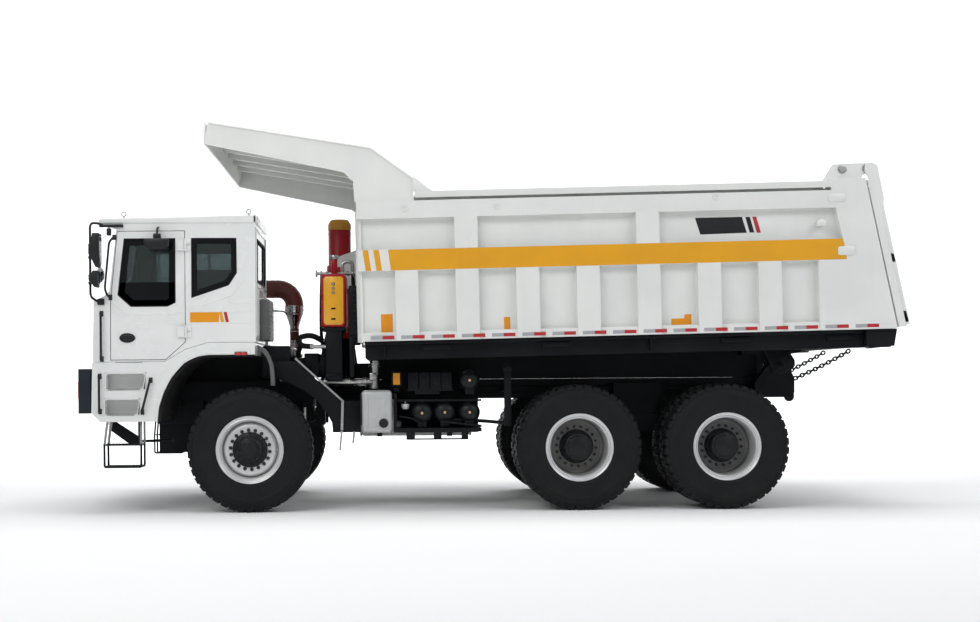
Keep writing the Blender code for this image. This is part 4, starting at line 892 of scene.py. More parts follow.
def hinge_cheek(side):
    """The body's outer hinge plate, turning with it beside the frame's cheek."""
    line = [(-0.14, 0.165), (-0.055, -0.02), (-0.020, -0.09), (0.080, -0.12), (0.200, -0.08),
            (0.250, -0.02), (0.250, 0.05), (0.190, 0.150), (0.170, 0.175)]
    return joined(outline(line, *sorted((side * 0.784, side * 0.800)), "y", 0.003),
                  bar((0.050, side * 0.782, -0.020), (0.050, side * 0.812, -0.020), 0.062, 40, 0.005),
                  bar((0.050, side * 0.80, -0.020), (0.050, side * 0.825, -0.020), 0.034, 6, 0.002),
                  block(-0.14, 0.19, *sorted((side * 0.700, side * 0.800)), 0.160, 0.188, 0.003))


on_body("body_hinge_cheeks", mirrored(hinge_cheek), frame_black, "chassis_black")
# ---------------------------------------------------------------- cab
DOOR_WINDOW = [(-4.323, 3.245), (-3.726, 3.245), (-3.729, 2.498), (-3.822, 2.454), (-4.246, 2.454),
               (-4.398, 2.589)]
SIDE_WINDOW = [(-3.528, 3.247), (-3.006, 3.243), (-3.006, 2.841), (-3.099, 2.700), (-3.530, 2.553)]
RIGHT_WINDOW = [(-4.28, 2.72), (-3.05, 2.72), (-3.05, 3.24), (-4.22, 3.24)]

softened("cab_shell", cab_white, "white_paint", 0.016, 3)
softened("cab_base", cab_white, "white_paint", 0.014, 3)
softened("hood", cab_white, "white_paint", 0.014, 3)
softened("door_left", cab_white, "white_paint", 0.004)
BUMPER_FRONT, BUMPER_END = -4.886, 1.945
bumper_line = [(BUMPER_FRONT, BUMPER_END - 0.025), (BUMPER_FRONT + 0.020, BUMPER_END),
               (-4.7355, BUMPER_END), (-4.7355, -BUMPER_END),
               (BUMPER_FRONT + 0.020, -BUMPER_END), (BUMPER_FRONT, 0.025 - BUMPER_END)]
as_piece("bumper_beam", joined(outline(bumper_line, 1.191, 1.719, "z", 0.010, 3),
                               *[block(-4.745, -4.601, *sorted((side * 0.40, side * 0.49)), 1.24, 1.52,
                                       0.006) for side in (-1, 1)]),
         bumper_black, "chassis", "black_plastic", "front_bumper")


def swept(points, out, width, height, side=-1, reach=1.95, body_edge=0.004):
    """A pressed crease: a low rounded ridge along a line on an upright panel."""
    parts = []
    for (x0, z0), (x1, z1) in zip(points, points[1:]):
        way = Vector((x1 - x0, z1 - z0)).normalized()
        across = Vector((-way.y, way.x)) * width / 2
        a, b = Vector((x0, z0)) - way * width * 0.2, Vector((x1, z1)) + way * width * 0.2
        low, high = sorted((side * (reach - 0.006), side * (reach + height)))
        parts.append(outline([tuple(a - across), tuple(b - across), tuple(b + across), tuple(a + across)],
                             low, high, "y", min(body_edge, height * 0.9)))
    return joined(*parts)


def roof_cap():
    """The roof's folded rim along both sides and the back."""
    rim = [(-4.615, 3.432), (-4.600, 3.492), (-2.765, 3.518), (-2.765, 3.425), (-2.80, 3.425),
           (-2.80, 3.475), (-4.575, 3.452), (-4.580, 3.432)]
    left = outline([(-4.612, 3.436), (-4.600, 3.491), (-2.766, 3.517), (-2.766, 3.427)], CAB_SIDE - 0.016,
                   CAB_SIDE + 0.02, "y", 0.007, 3)
    right = outline([(-4.612, 3.436), (-4.600, 3.491), (-2.766, 3.517), (-2.766, 3.427)], CAB_INNER - 0.02,
                    CAB_INNER + 0.016, "y", 0.007, 3)
    back = block(-2.80, -2.758, CAB_SIDE - 0.016, CAB_INNER + 0.016, 3.428, 3.517, 0.007, 3)
    return joined(left, right, back)


as_piece("cab_roof_rim", roof_cap(), cab_white, "chassis", "white_paint")


def lifting_eye(x, y, z):
    ring = turned([(0.020, -0.006), (0.032, -0.006), (0.032, 0.006), (0.020, 0.006)], (x, y, z + 0.052),
                  "y", 20)
    return joined(ring, bar((x, y, z - 0.002), (x, y, z + 0.026), 0.009, 12),
                  bar((x, y, z - 0.002), (x, y, z + 0.008), 0.022, 16, 0.002))


as_piece("cab_lifting_eyes", joined(*[lifting_eye(x, y, 3.494 + (x + 4.6) * 0.0137) for x in (-4.34,
        -2.86) for y in (-1.86, -0.52)]), pipe_steel, "chassis", "polished_steel")

# Creases in the door and in the panel behind it
door_line = [(-4.462, 2.500), (-4.290, 2.361), (-3.745, 2.361), (-3.632, 2.400)]
door_low_line = [(-4.345, 2.232), (-4.300, 2.246), (-3.632, 2.246)]
as_piece("door_creases", joined(swept(door_line, 0, 0.016, 0.005), swept(door_low_line, 0, 0.012, 0.003)),
         cab_white, "door_left", "white_paint")
panel_line = [(-3.590, 2.412), (-3.545, 2.427), (-3.050, 2.578), (-2.930, 2.752)]
recess = [(-2.800, 2.560), (-3.010, 2.560)], [(-2.800, 2.488), (-3.100, 2.488),
        (-3.010, 2.560)], [(-2.800, 2.385), (-3.185, 2.385), (-3.100, 2.488)]
as_piece("cab_side_creases", joined(swept(panel_line, 0, 0.018, 0.005),
                                    *[swept(line, 0, 0.014, 0.004) for line in recess],
                                    swept([(-3.590, 2.246), (-2.800, 2.246)], 0, 0.010, 0.0025)), cab_white,
                                    "chassis", "white_paint")
arch_line = [(-3.975, 1.10), (-3.955, 1.275), (-3.893, 1.465), (-3.800, 1.640), (-3.640, 1.808),
             (-3.480, 1.880), (-3.350, 1.897), (-2.800, 1.897)]
as_piece("mudguard_swage", mirrored(lambda side: swept(arch_line, 0, 0.014, 0.006, side)), cab_white,
         "chassis", "white_paint")
arch_edge = [(-3.936, 1.095), (-3.917, 1.271), (-3.855, 1.453), (-3.765, 1.619), (-3.615, 1.784),
             (-3.466, 1.851), (-3.347, 1.868), (-2.792, 1.868)]


def arch_lip(side):
    line = [(x, side * 1.946, z) for x, z in arch_edge]
    return tube(line, 0.008, 0.10, 2)


as_piece("mudguard_rubber_lips", mirrored(arch_lip), rubber_black, "chassis", "chassis_black")

# Windows: black borders, seals and the panel seen low in the door's glass
as_piece("door_window_border", joined(outline(DOOR_WINDOW, -1.9415, -1.9385, "y", 0.0, 1, 0.072),
                                      outline([(-4.398, 2.589), (-4.246, 2.454), (-3.822, 2.454),
                                              (-3.729, 2.498), (-3.729, 2.735), (-4.385, 2.735)], -1.9415,
                                              -1.9385, "y")),
         glass_border, "door_left", "black_plastic")
as_piece("side_window_border", outline(SIDE_WINDOW, -1.9415, -1.9385, "y", 0.0, 1, 0.060), glass_border,
         "chassis", "black_plastic")
as_piece("right_window_border", outline(RIGHT_WINDOW, -0.4315, -0.4290, "y", 0.0, 1, 0.050), glass_border,
         "chassis", "black_plastic")


def grow(points, by):
    centre = Vector((sum(p[0] for p in points), sum(p[1] for p in points))) / len(points)
    return [tuple(Vector(p) + (Vector(p) - centre).normalized() * by) for p in points]


as_piece("door_window_seal", outline(grow(DOOR_WINDOW, 0.010), -1.9535, -1.9385, "y", 0.002, 1, 0.014),
         rubber_black, "door_left", "black_plastic")
as_piece("side_window_seal", outline(grow(SIDE_WINDOW, 0.010), -1.9535, -1.9385, "y", 0.002, 1, 0.014),
         rubber_black, "chassis", "black_plastic")
for node in ("door_glass", "quarter_glass", "right_glass", "rear_glass", "windscreen"):
    cad[node].data.materials.clear()
    cad[node].data.materials.append(glass_finish)


def screen_trim():
    """Windscreen rubber, black band and wipers on the sloping glass."""
    slope = Matrix.Translation((-4.4985, 0, 2.68)) @ Matrix.Rotation(math.atan2(0.087, 0.63), 4, "Y")
    rubber = outline([(-1.875, -0.01), (-0.495, -0.01), (-0.495, 0.645), (-1.875, 0.645)], -0.012, 0.004,
                     "x", 0.004, 2, 0.05)
    arms = []
    for y in (-1.62, -0.98):
        arms.append(tube([(-0.030, y, -0.045), (-0.034, y + 0.10, 0.10), (-0.022, y + 0.30, 0.27)], 0.007,
                         0.05, 2))
        arms.append(block(-0.020, -0.010, y - 0.02, y + 0.56, 0.262, 0.278, 0.003))
        arms.append(bar((-0.005, y, -0.045), (-0.040, y, -0.045), 0.020, 16, 0.004))
    return placed(joined(rubber, *arms), slope)


as_piece("windscreen_trim", screen_trim(), rubber_black, "chassis", "black_plastic")


for z in (2.150, 3.170):
    fixed, moving = [], []
    for x0, x1, held in ((-3.678, -3.617, moving), (-3.594, -3.535, fixed)):
        for part in (-0.038, 0.038):
            held.append(block(x0, x1, -1.968, -1.948, z + part - 0.027, z + part + 0.027, 0.005))
            held.append(bolt(((x0 + x1) / 2, -1.968, z + part), 0.009, 0.005))
    moving.append(bar((-3.600, -1.978, z - 0.072), (-3.600, -1.978, z + 0.072), 0.0145, 16, 0.003))
    moving.append(block(-3.625, -3.600, -1.984, -1.962, z - 0.062, z + 0.062, 0.004))
    height = "low" if z < 3 else "high"
    as_piece(f"door_hinge_leaf_{height}", joined(*moving), cab_white, "door_left", "white_paint")
    as_piece(f"cab_hinge_leaf_{height}", joined(*fixed), cab_white, "chassis", "white_paint")


def oval(centre_x, centre_z, half_long, half_high, low, high, edge, count=28):
    points = [(centre_x + half_long * math.cos(2 * math.pi * i / count),
               centre_z + half_high * math.sin(2 * math.pi * i / count)) for i in range(count)]
    return outline(points, low, high, "y", edge)


as_piece("door_handle", joined(oval(-4.293, 2.080, 0.095, 0.058, -1.9665, -1.948, 0.004),
                               oval(-4.293, 2.085, 0.070, 0.030, -1.972, -1.960, 0.004),
                               bar((-4.293, -1.960, 2.048), (-4.293, -1.970, 2.048), 0.009, 14, 0.002)),
                               trim_black, "door_left", "black_plastic")
as_piece("door_handle_oval", turned([(0.0, 0.0), (0.012, 0.0), (0.010, 0.003), (0.0, 0.003)],
                                    (-4.293, -1.9745, 2.087), "y", 16, False), chain_steel, "door_left",
                                    "polished_steel")

# Plates in the decal's place, without any marks
as_piece("cab_label_orange", outline([(-3.552, 2.259), (-3.215, 2.259), (-3.205, 2.377), (-3.552, 2.377)],
                                     -1.9522, -1.9504, "y"), plate_orange, "chassis", "yellow_paint")
as_piece("cab_label_yellow", outline([(-3.192, 2.259), (-3.150, 2.259), (-3.175, 2.377),
                                      (-3.218 + 0.012, 2.377)], -1.9522, -1.9504, "y"), stripe_yellow,
                                      "chassis", "yellow_paint")
as_piece("cab_label_red", outline([(-3.132, 2.259), (-3.095, 2.259), (-3.120, 2.377), (-3.157, 2.377)],
                                  -1.9522, -1.9504, "y"), tape_red, "chassis", "red_paint")

# Lamps and markers
as_piece("side_marker_lamp", joined(outline([(-3.030, 1.908), (-2.882, 1.908), (-2.882, 1.860),
        (-3.030, 1.860)], -1.968, -1.948, "y", 0.006)), trim_black, "chassis", "black_plastic")
as_piece("side_marker_lens", mirrored(lambda side: joined(block(-3.022, -2.958,
        *sorted((side * 1.962, side * 1.977)), 1.867, 1.901, 0.006),
        block(-2.954, -2.890, *sorted((side * 1.962, side * 1.977)), 1.867, 1.901, 0.006))),
         lens_red, "chassis", "red_paint")
as_piece("roof_marker_lamps", joined(*[joined(bar((-4.592, y, 3.462), (-4.622, y, 3.462), 0.024, 20, 0.006),
        bar((-4.60, y, 3.44), (-4.60, y, 3.47), 0.01, 10)) for y in (-1.90, -0.47)]),
         lens_orange, "chassis", "yellow_paint")


# Handles, mirrors
def rail_with_feet(path, radius, feet, bend=0.03):
    parts = [tube(path, radius, bend, 3)]
    for place, way in feet:
        start = Vector(place)
        parts.append(bar(start, start + Vector(way), 0.019, 16, 0.003))
        parts.append(block(start.x + way[0] - 0.022, start.x + way[0] + 0.022, start.y + way[1] - 0.006,
                           start.y + way[1] + 0.006, start.z - 0.032, start.z + 0.032, 0.004))
    return joined(*parts)


out = -2.010
handles = [
    rail_with_feet([(-4.440, out + 0.045, 3.268), (-4.440, out, 3.262), (-4.490, out, 3.210),
                    (-4.545, out, 2.660), (-4.520, out, 2.585), (-4.490, out + 0.045, 2.560)], 0.0135,
                   [((-4.440, -1.985, 3.268), (0, 0.034, 0)), ((-4.490, -1.985, 2.560), (0, 0.034, 0))],
                   0.05),
    rail_with_feet([(-4.596, out, 2.380), (-4.596, out, 1.825)], 0.0145,
                   [((-4.596, -2.005, 2.370), (0, 0.052, 0)), ((-4.596, -2.005, 1.835), (0, 0.052, 0))]),
    rail_with_feet([(-4.622, out, 1.640), (-4.622, out, 1.205)], 0.0145,
                   [((-4.622, -2.005, 1.630), (0, 0.052, 0)), ((-4.622, -2.005, 1.215), (0, 0.052, 0))]),
    rail_with_feet([(-4.020, out, 1.590), (-4.125, out, 1.195)], 0.0145,
                   [((-4.022, -2.005, 1.580), (0, 0.052, 0)), ((-4.122, -2.005, 1.205), (0, 0.052, 0))]),
]
as_piece("cab_grab_handles", joined(*handles), trim_black, "chassis", "black_plastic")


def mirror_head(x0, x1, y, z0, z1, half_wide):
    """A rounded mirror shell, deeper at mid height, glass to the rear."""
    shell = outline([(x0 + 0.045, z1), (x1 - 0.004, z1), (x1, z1 - 0.02), (x1 - 0.010, z0),
                     (x1 - 0.045, z0), (x0 + 0.025, z0 + 0.30 * (z1 - z0)), (x0, z0 + 0.38 * (z1 - z0)),
                     (x0, z0 + 0.58 * (z1 - z0)), (x0 + 0.028, z0 + 0.72 * (z1 - z0))], y - half_wide,
                     y + half_wide, "y", 0.012, 3)
    return shell


def mirror_set(side):
    y = side * 2.120
    cab = side * 1.97
    arm = tube([(-4.560, cab, 3.402), (-4.620, side * 2.02, 3.430), (-4.692, y, 3.420), (-4.692, y, 2.560),
                (-4.650, cab, 2.520), (-4.600, cab - side * 0.01, 2.515)], 0.0145, 0.06, 3)
    if side > 0:
        arm = tube([(-4.600, 1.850, 1.810), (-4.600, 1.850, 3.300), (-4.692, y, 3.420), (-4.692, y, 2.620)],
                   0.0155, 0.06, 3)
    clamps = [block(-4.712, -4.672, y - 0.02, y + 0.02, z - 0.018, z + 0.018, 0.005) for z in (3.16, 3.02,
            2.80, 2.72)]
    heads = [mirror_head(-4.690, -4.562, y + side * 0.050, 2.897, 3.294, 0.088),
             mirror_head(-4.690, -4.580, y + side * 0.045, 2.665, 2.858, 0.086)]
    return joined(arm, *clamps, *heads)


as_piece("mirror_set_left", mirror_set(-1), trim_black, "chassis", "black_plastic", "mirror_left")
as_piece("mirror_set_right", joined(mirror_set(1), block(-4.66, -4.54, 1.79, 1.91, 1.7985, 1.825, 0.006)),
         trim_black, "chassis", "black_plastic", "mirror_right")
as_piece("mirror_glasses", mirrored(lambda side: joined(*[block(-4.5655 - 0.018 * (z0 < 2.8),
        -4.5600 - 0.018 * (z0 < 2.8), side * (2.170 if z0 > 2.9 else 2.165) - 0.072,
        side * (2.170 if z0 > 2.9 else 2.165) + 0.072, z0 + 0.02, z1 - 0.02, 0.002, 1)
                                                          for z0, z1 in ((2.915, 3.280), (2.685, 2.845))])),
                                                          mirror_face, "chassis", "polished_steel")
as_piece("mirror_arm_bracket", joined(block(-4.610, -4.330, -1.992, -1.951, 3.385, 3.418, 0.006),
                                      block(-4.522, -4.470, -2.010, -1.951, 3.285, 3.372, 0.012, 3),
                                      block(-4.505, -4.490, -1.985, -1.960, 3.36, 3.39, 0.003),
                                      block(-4.640, -4.560, -1.985, -1.951, 2.470, 2.545, 0.008),
                                      *[bolt((x, -1.992, 3.401), 0.008, 0.005) for x in (-4.58, -4.50,
                                              -4.41, -4.35)],
                                      *[bolt((x, -1.985, z), 0.008, 0.005) for x in (-4.62,
                                              -4.58) for z in (2.49, 2.525)]), trim_black, "chassis",
                                              "black_plastic")
dome = turned([(0.0, -0.030), (0.040, -0.026), (0.075, -0.012), (0.092, 0.006), (0.094, 0.014),
               (0.0, 0.014)], (0, 0, 0), "x", 32, False)
placed(dome, Matrix.Scale(-1, 4, (1, 0, 0)), Matrix.Rotation(math.radians(35), 4, "Z"),
       Matrix.Translation((-4.580, -2.060, 2.815)))
bmesh.ops.recalc_face_normals(dome, faces=dome.faces)
as_piece("wide_view_mirror", dome, mirror_face, "chassis", "polished_steel")
as_piece("kerb_mirror", joined(outline([(-4.065, 3.235), (-3.775, 3.235), (-3.785, 3.135), (-3.830, 3.105),
                                        (-4.015, 3.105), (-4.060, 3.140)], -2.150, -2.035, "y", 0.022, 3),
                               block(-3.965, -3.875, -2.075, -2.035, 3.225, 3.300, 0.012, 3),
                               tube([(-3.920, -2.055, 3.285), (-3.920, -2.040, 3.355),
                                     (-3.920, -1.955, 3.380)], 0.013, 0.03)),
         trim_black, "door_left", "black_plastic")


def step_well(side, x0, x1, z0, z1):
    """A rounded step opening's liner with its lip."""
    low, high = sorted((side * 1.752, side * 1.9515))
    lining = outline([(x0 + 0.002, z0 + 0.002), (x1 - 0.030, z0 + 0.002), (x1 - 0.002, z1 - 0.035),
                      (x1 - 0.025, z1 - 0.002), (x0 + 0.025, z1 - 0.002), (x0 + 0.002, z1 - 0.025)],
                     low, high, "y", 0.0, 1, 0.010)
    lip = outline([(x0 - 0.006, z0 - 0.006), (x1 + 0.004, z0 - 0.006), (x1 + 0.012, z1 - 0.030),
                   (x1 - 0.012, z1 + 0.008), (x0 + 0.020, z1 + 0.008), (x0 - 0.006, z1 - 0.018)],
                  *sorted((side * 1.949, side * 1.9545)), "y", 0.002, 1, 0.012)
    return joined(lining, lip)


wells = ((-4.560, -4.080, 1.470, 1.670), (-4.575, -4.150, 1.170, 1.365))
as_piece("step_well_liners", mirrored(lambda side: joined(*[step_well(side, *well) for well in wells])),
         cab_white, "chassis", "white_paint")


def step_tread(side, x0, x1, z0):
    low, high = sorted((side * 1.80, side * 1.953))
    plate = joined(block(x0 + 0.03, x1 - 0.07, low, high, z0 + 0.004, z0 + 0.014, 0.002, 1),
                   block(x0 + 0.03, x1 - 0.07, *sorted((side * 1.9535, side * 1.9565)), z0 - 0.006,
                         z0 + 0.014, 0.001, 1))
    teeth = []
    for i in range(9):
        x = x0 + 0.05 + i * (x1 - x0 - 0.17) / 8
        for y in (0.25, 0.55, 0.85):
            teeth.append(bar((x, low + (high - low) * y, z0 + 0.012),
                             (x, low + (high - low) * y, z0 + 0.019), 0.007, 8, 0.0, 0.004))
    return joined(plate, *teeth)


as_piece("step_treads", mirrored(lambda side: joined(*[step_tread(side, x0, x1, z0) for x0, x1, z0,
        z1 in wells])), tread_steel, "chassis", "polished_steel")
as_piece("door_sill_tread", joined(block(-4.440, -4.120, -1.9535, -1.90, 1.788, 1.7995, 0.002, 1),
                                   *[bar((-4.42 + 0.035 * i, -1.953, 1.794),
                                         (-4.42 + 0.035 * i, -1.959, 1.794), 0.005, 8) for i in range(9)]),
         tread_steel, "chassis", "polished_steel")


def hanging_ladder():
    """The ladder's lower frame: two tube loops joined by perforated rungs, and its diagonal stay."""
    parts = []
    for y in (-1.892, -1.640):
        parts.append(tube([(-4.586, y, 0.830), (-4.584, y, 0.556), (-4.150, y, 0.556), (-4.150, y, 0.830)],
                          0.0135, 0.02, 3))
    for z in (0.558, 0.816):
        parts.append(block(-4.585, -4.150, -1.892, -1.640, z - 0.010, z + 0.010, 0.003, 1))
        for i in range(11):
            x = -4.56 + i * 0.039
            parts.append(bar((x, -1.872, z + 0.008), (x, -1.660, z + 0.008), 0.006, 8))
    parts.append(outline([(-4.630, 1.086), (-4.560, 1.086), (-4.228, 0.869), (-4.263, 0.808),
                          (-4.394, 0.808), (-4.636, 0.985)], -1.325, -1.305, "y", 0.003))
    parts.append(tube([(-4.240, -1.32, 0.838), (-3.860, -1.32, 0.850)], 0.018, 0.02))
    parts.append(block(-4.190, -4.158, -1.875, -1.850, 0.83, 1.088, 0.004))
    return joined(*parts)


as_piece("boarding_ladder", hanging_ladder(), frame_black, "chassis", "black_plastic", "ladder_left")
straps = []
for y in (-1.892, -1.640):
    straps.append(arc_strip([(-4.545, 1.089), (-4.560, 1.00), (-4.584, 0.815)], 0.030, y - 0.007, y + 0.007))
    straps.append(arc_strip([(-4.150, 1.089), (-4.150, 0.815)], 0.026, y - 0.007, y + 0.007))
    for x, z in ((-4.549, 1.065), (-4.582, 0.84), (-4.150, 1.065), (-4.150, 0.84)):
        straps.append(bolt((x, y - 0.007, z), 0.009, 0.006))
as_piece("ladder_straps", joined(*straps), tread_steel, "chassis", "polished_steel")
as_piece("right_step_guard", outline([(-4.44, 1.086), (-3.84, 1.086), (-3.84, 0.640), (-3.90, 0.575),
                                      (-4.44, 0.575)], 1.40, 1.42, "y", 0.004), frame_black, "chassis",
                                      "chassis_black")

# The front: grille slats, lamps and tow pins
def front_face():
    parts = [outline([(-1.80, 1.86), (-0.56, 1.86), (-0.56, 2.28), (-1.80, 2.28)], -4.716, -4.690, "x",
                     0.010, 3, 0.035)]
    for i in range(6):
        z = 1.915 + i * 0.062
        parts.append(block(-4.716, -4.694, -1.77, -0.59, z - 0.014, z + 0.014, 0.006))
    for i in range(9):
        z = 1.90 + i * 0.066
        parts.append(block(-4.716, -4.690, -0.30, 1.18, z - 0.016, z + 0.016, 0.006))
    parts.append(outline([(-0.36, 1.85), (1.24, 1.85), (1.24, 2.49), (-0.36, 2.49)], -4.718, -4.688, "x",
                         0.010, 3, 0.04))
    return joined(*parts)


as_piece("front_grilles", front_face(), trim_black, "chassis", "black_plastic")


def lamp_cluster(side):
    y = side * 1.50
    frame_part = outline([(y - 0.27, 1.33), (y + 0.27, 1.33), (y + 0.27, 1.60), (y - 0.27, 1.60)], -4.902,
                         -4.880, "x", 0.008, 3, 0.025)
    buckets = [turned([(0.055, 0.012), (0.098, 0.012), (0.102, -0.006), (0.092, -0.016), (0.086, -0.004),
                       (0.055, 0.004)], (-4.888, y + dy, 1.465), "x", 32) for dy in (-0.12, 0.12)]
    return joined(frame_part, *buckets)


as_piece("headlamp_frames", mirrored(lamp_cluster), trim_black, "chassis", "black_plastic")
as_piece("headlamp_lenses", mirrored(lambda side: joined(*[turned([(0.0, -0.022), (0.050, -0.017),
        (0.086, -0.004), (0.086, 0.004), (0.0, 0.004)], (-4.888, side * 1.50 + dy, 1.465), "x", 32,
        False) for dy in (-0.12, 0.12)])),
         chrome, "chassis", "polished_steel")
as_piece("turn_lamp_lenses", mirrored(lambda side: block(-4.899, -4.880,
        *sorted((side * 1.80, side * 1.88)), 1.36, 1.57, 0.008, 3)), lens_orange, "chassis", "yellow_paint")
as_piece("tow_pins", mirrored(lambda side: joined(block(-4.894, -4.870, side * 0.62 - 0.09,
        side * 0.62 + 0.09, 1.34, 1.52, 0.008),
        turned([(0.030, -0.03), (0.052, -0.03), (0.052, 0.0), (0.030, 0.0)], (-4.888, side * 0.62, 1.43),
               "x", 24))),
         frame_black, "chassis", "chassis_black")
as_piece("bumper_ribs", joined(block(-4.896, -4.880, -1.10, 1.10, 1.600, 1.640, 0.006),
                               block(-4.896, -4.880, -1.10, 1.10, 1.265, 1.305, 0.006),
                               *[bolt((-4.886, y, z), 0.013, 0.008, (-1, 0, 0)) for y in (-1.0, -0.3, 0.3,
                                       1.0) for z in (1.56, 1.35)]), bumper_black, "chassis", "black_plastic")


# The cab's back wall
def back_wall():
    parts = []
    for y in (-1.74, -1.56, -0.80, -0.62):
        parts.append(block(-2.784, -2.768, y - 0.045, y + 0.045, 2.10, 2.66, 0.007, 2))
    for z in (2.70, 3.36):
        parts.append(block(-2.784, -2.768, -1.86, -0.51, z - 0.016, z + 0.016, 0.006))
    for y in (-1.86, -0.51):
        parts.append(block(-2.784, -2.768, y - 0.02, y + 0.02, 2.08, 3.38, 0.006))
    return joined(*parts)


as_piece("cab_back_swages", back_wall(), cab_white, "chassis", "white_paint")
as_piece("rear_window_rubber", outline([(-1.71, 2.74), (-0.66, 2.74), (-0.66, 3.26), (-1.71, 3.26)], -2.786,
                                       -2.770, "x", 0.004, 2, 0.03), rubber_black, "chassis", "black_plastic")


# Inside the cab
def cushion(name, x0, x1, y0, y1, z0, z1, tilt=0.0, stands=()):
    """A crowned pad with pulled-in sides and two sewn channels."""
    shape = bmesh.new()
    bmesh.ops.create_cube(shape, size=1.0)
    bmesh.ops.subdivide_edges(shape, edges=shape.edges, cuts=9, use_grid_fill=True)
    for v in shape.verts:
        a, b, c = v.co * 2
        crown = (1 - a ** 4) * (1 - b ** 4)
        pull = 1 - 0.05 * (1 - c * c)
        seam = 0.06 * (math.exp(-((b - 0.5) / 0.06) ** 2) + math.exp(-((b + 0.5) / 0.06) ** 2)) * (c > 0.5)
        v.co = Vector((a * (0.93 + 0.07 * (1 - c ** 4)) * pull, b * (0.93 + 0.07 * (1 - c ** 4)) * pull,
                       c * (0.80 + 0.20 * crown) - seam)) / 2
    bmesh.ops.smooth_vert(shape, verts=shape.verts, factor=0.4, use_axis_x=True, use_axis_y=True,
                          use_axis_z=True)
    size = Matrix.Diagonal((x1 - x0, y1 - y0, z1 - z0, 1))
    placed(shape, size, Matrix.Rotation(tilt, 4, "Y"),
           Matrix.Translation(((x0 + x1) / 2, (y0 + y1) / 2, (z0 + z1) / 2)))
    pad = as_piece(name, shape, seat_finish, "chassis", "seat_fabric", *stands, flat_above=80)
    return pad


cushion("driver_seat_cushion", -3.70, -3.16, -1.44, -0.92, 2.29, 2.43)
cushion("driver_seat_back", -3.42, -2.84, -1.42, -0.94, 2.62, 2.74, math.radians(-77), ())
cushion("driver_head_rest", -3.04, -2.86, -1.31, -1.05, 3.10, 3.20, math.radians(-77))
as_piece("driver_seat_base", joined(block(-3.34, -3.06, -1.36, -1.00, 2.083, 2.20, 0.02, 3),
                                    block(-3.38, -3.04, -1.34, -1.02, 2.20, 2.285, 0.03, 3),
                                    block(-3.66, -3.16, -1.42, -0.94, 2.265, 2.30, 0.01),
                                    *[tube([(-3.02 + 0.02 * k, y, 2.98), (-3.0, y, 3.12)], 0.006) for k,
                                      y in enumerate((-1.24, -1.12))]),
         trim_black, "chassis", "black_plastic", "seat")


def dash():
    parts = [outline([(-4.640, 2.02), (-4.310, 2.02), (-4.240, 2.46), (-4.300, 2.52), (-4.450, 2.56),
                      (-4.590, 2.49), (-4.630, 2.40)], -1.87, -0.50, "y", 0.02, 3),
             bar((-4.29, -1.18, 2.36), (-4.03, -1.18, 2.56), 0.026, 20, 0.004),
             block(-4.34, -4.24, -1.40, -0.96, 2.50, 2.60, 0.03, 3)]
    wheel = turned([(0.2 + 0.018 * math.cos(t * math.pi / 5),
                     0.018 * math.sin(t * math.pi / 5)) for t in range(10)], (0, 0, 0), "x", 40)
    spokes = [bar((0, 0, 0), (0, 0.2 * math.cos(a), 0.2 * math.sin(a)), 0.012,
                  12) for a in (math.radians(90), math.radians(210), math.radians(330))]
    hub = turned([(0.0, -0.02), (0.045, -0.02), (0.055, 0.0), (0.045, 0.02), (0.0, 0.02)], (0, 0, 0), "x",
                 28, False)
    whole = placed(joined(wheel, hub, *spokes), Matrix.Rotation(math.radians(28), 4, "Y"),
                   Matrix.Translation((-4.025, -1.18, 2.57)))
    return joined(*parts, whole)


as_piece("dash_and_steering_wheel", dash(), trim_black, "chassis", "black_plastic", "dashboard")


# The right-hand deck
def deck_parts():
    parts = []
    for i in range(8):
        x = -4.42 + i * 0.075
        parts.append(block(x, x + 0.04, 0.70, 1.14, 2.556, 2.566, 0.003, 1))
    return joined(*parts)


as_piece("hood_louvres", deck_parts(), trim_black, "chassis", "black_plastic")
# ---------------------------------------------------------------- gear behind the cab and along the frame
DUCT_X, DUCT_Y = -2.467, 0.30


def clamp_band(x, y, z, radius, high=0.022):
    band = turned([(radius - 0.002, -high / 2), (radius + 0.005, -high / 2), (radius + 0.007, 0),
                   (radius + 0.005, high / 2), (radius - 0.002, high / 2)], (x, y, z), "z", 48)
    return joined(band, block(x - 0.022, x + 0.022, y - radius - 0.020, y - radius + 0.002, z - 0.008,
                              z + 0.008, 0.003),
                              bar((x - 0.03, y - radius - 0.012, z), (x + 0.03, y - radius - 0.012, z),
                                  0.005, 10))


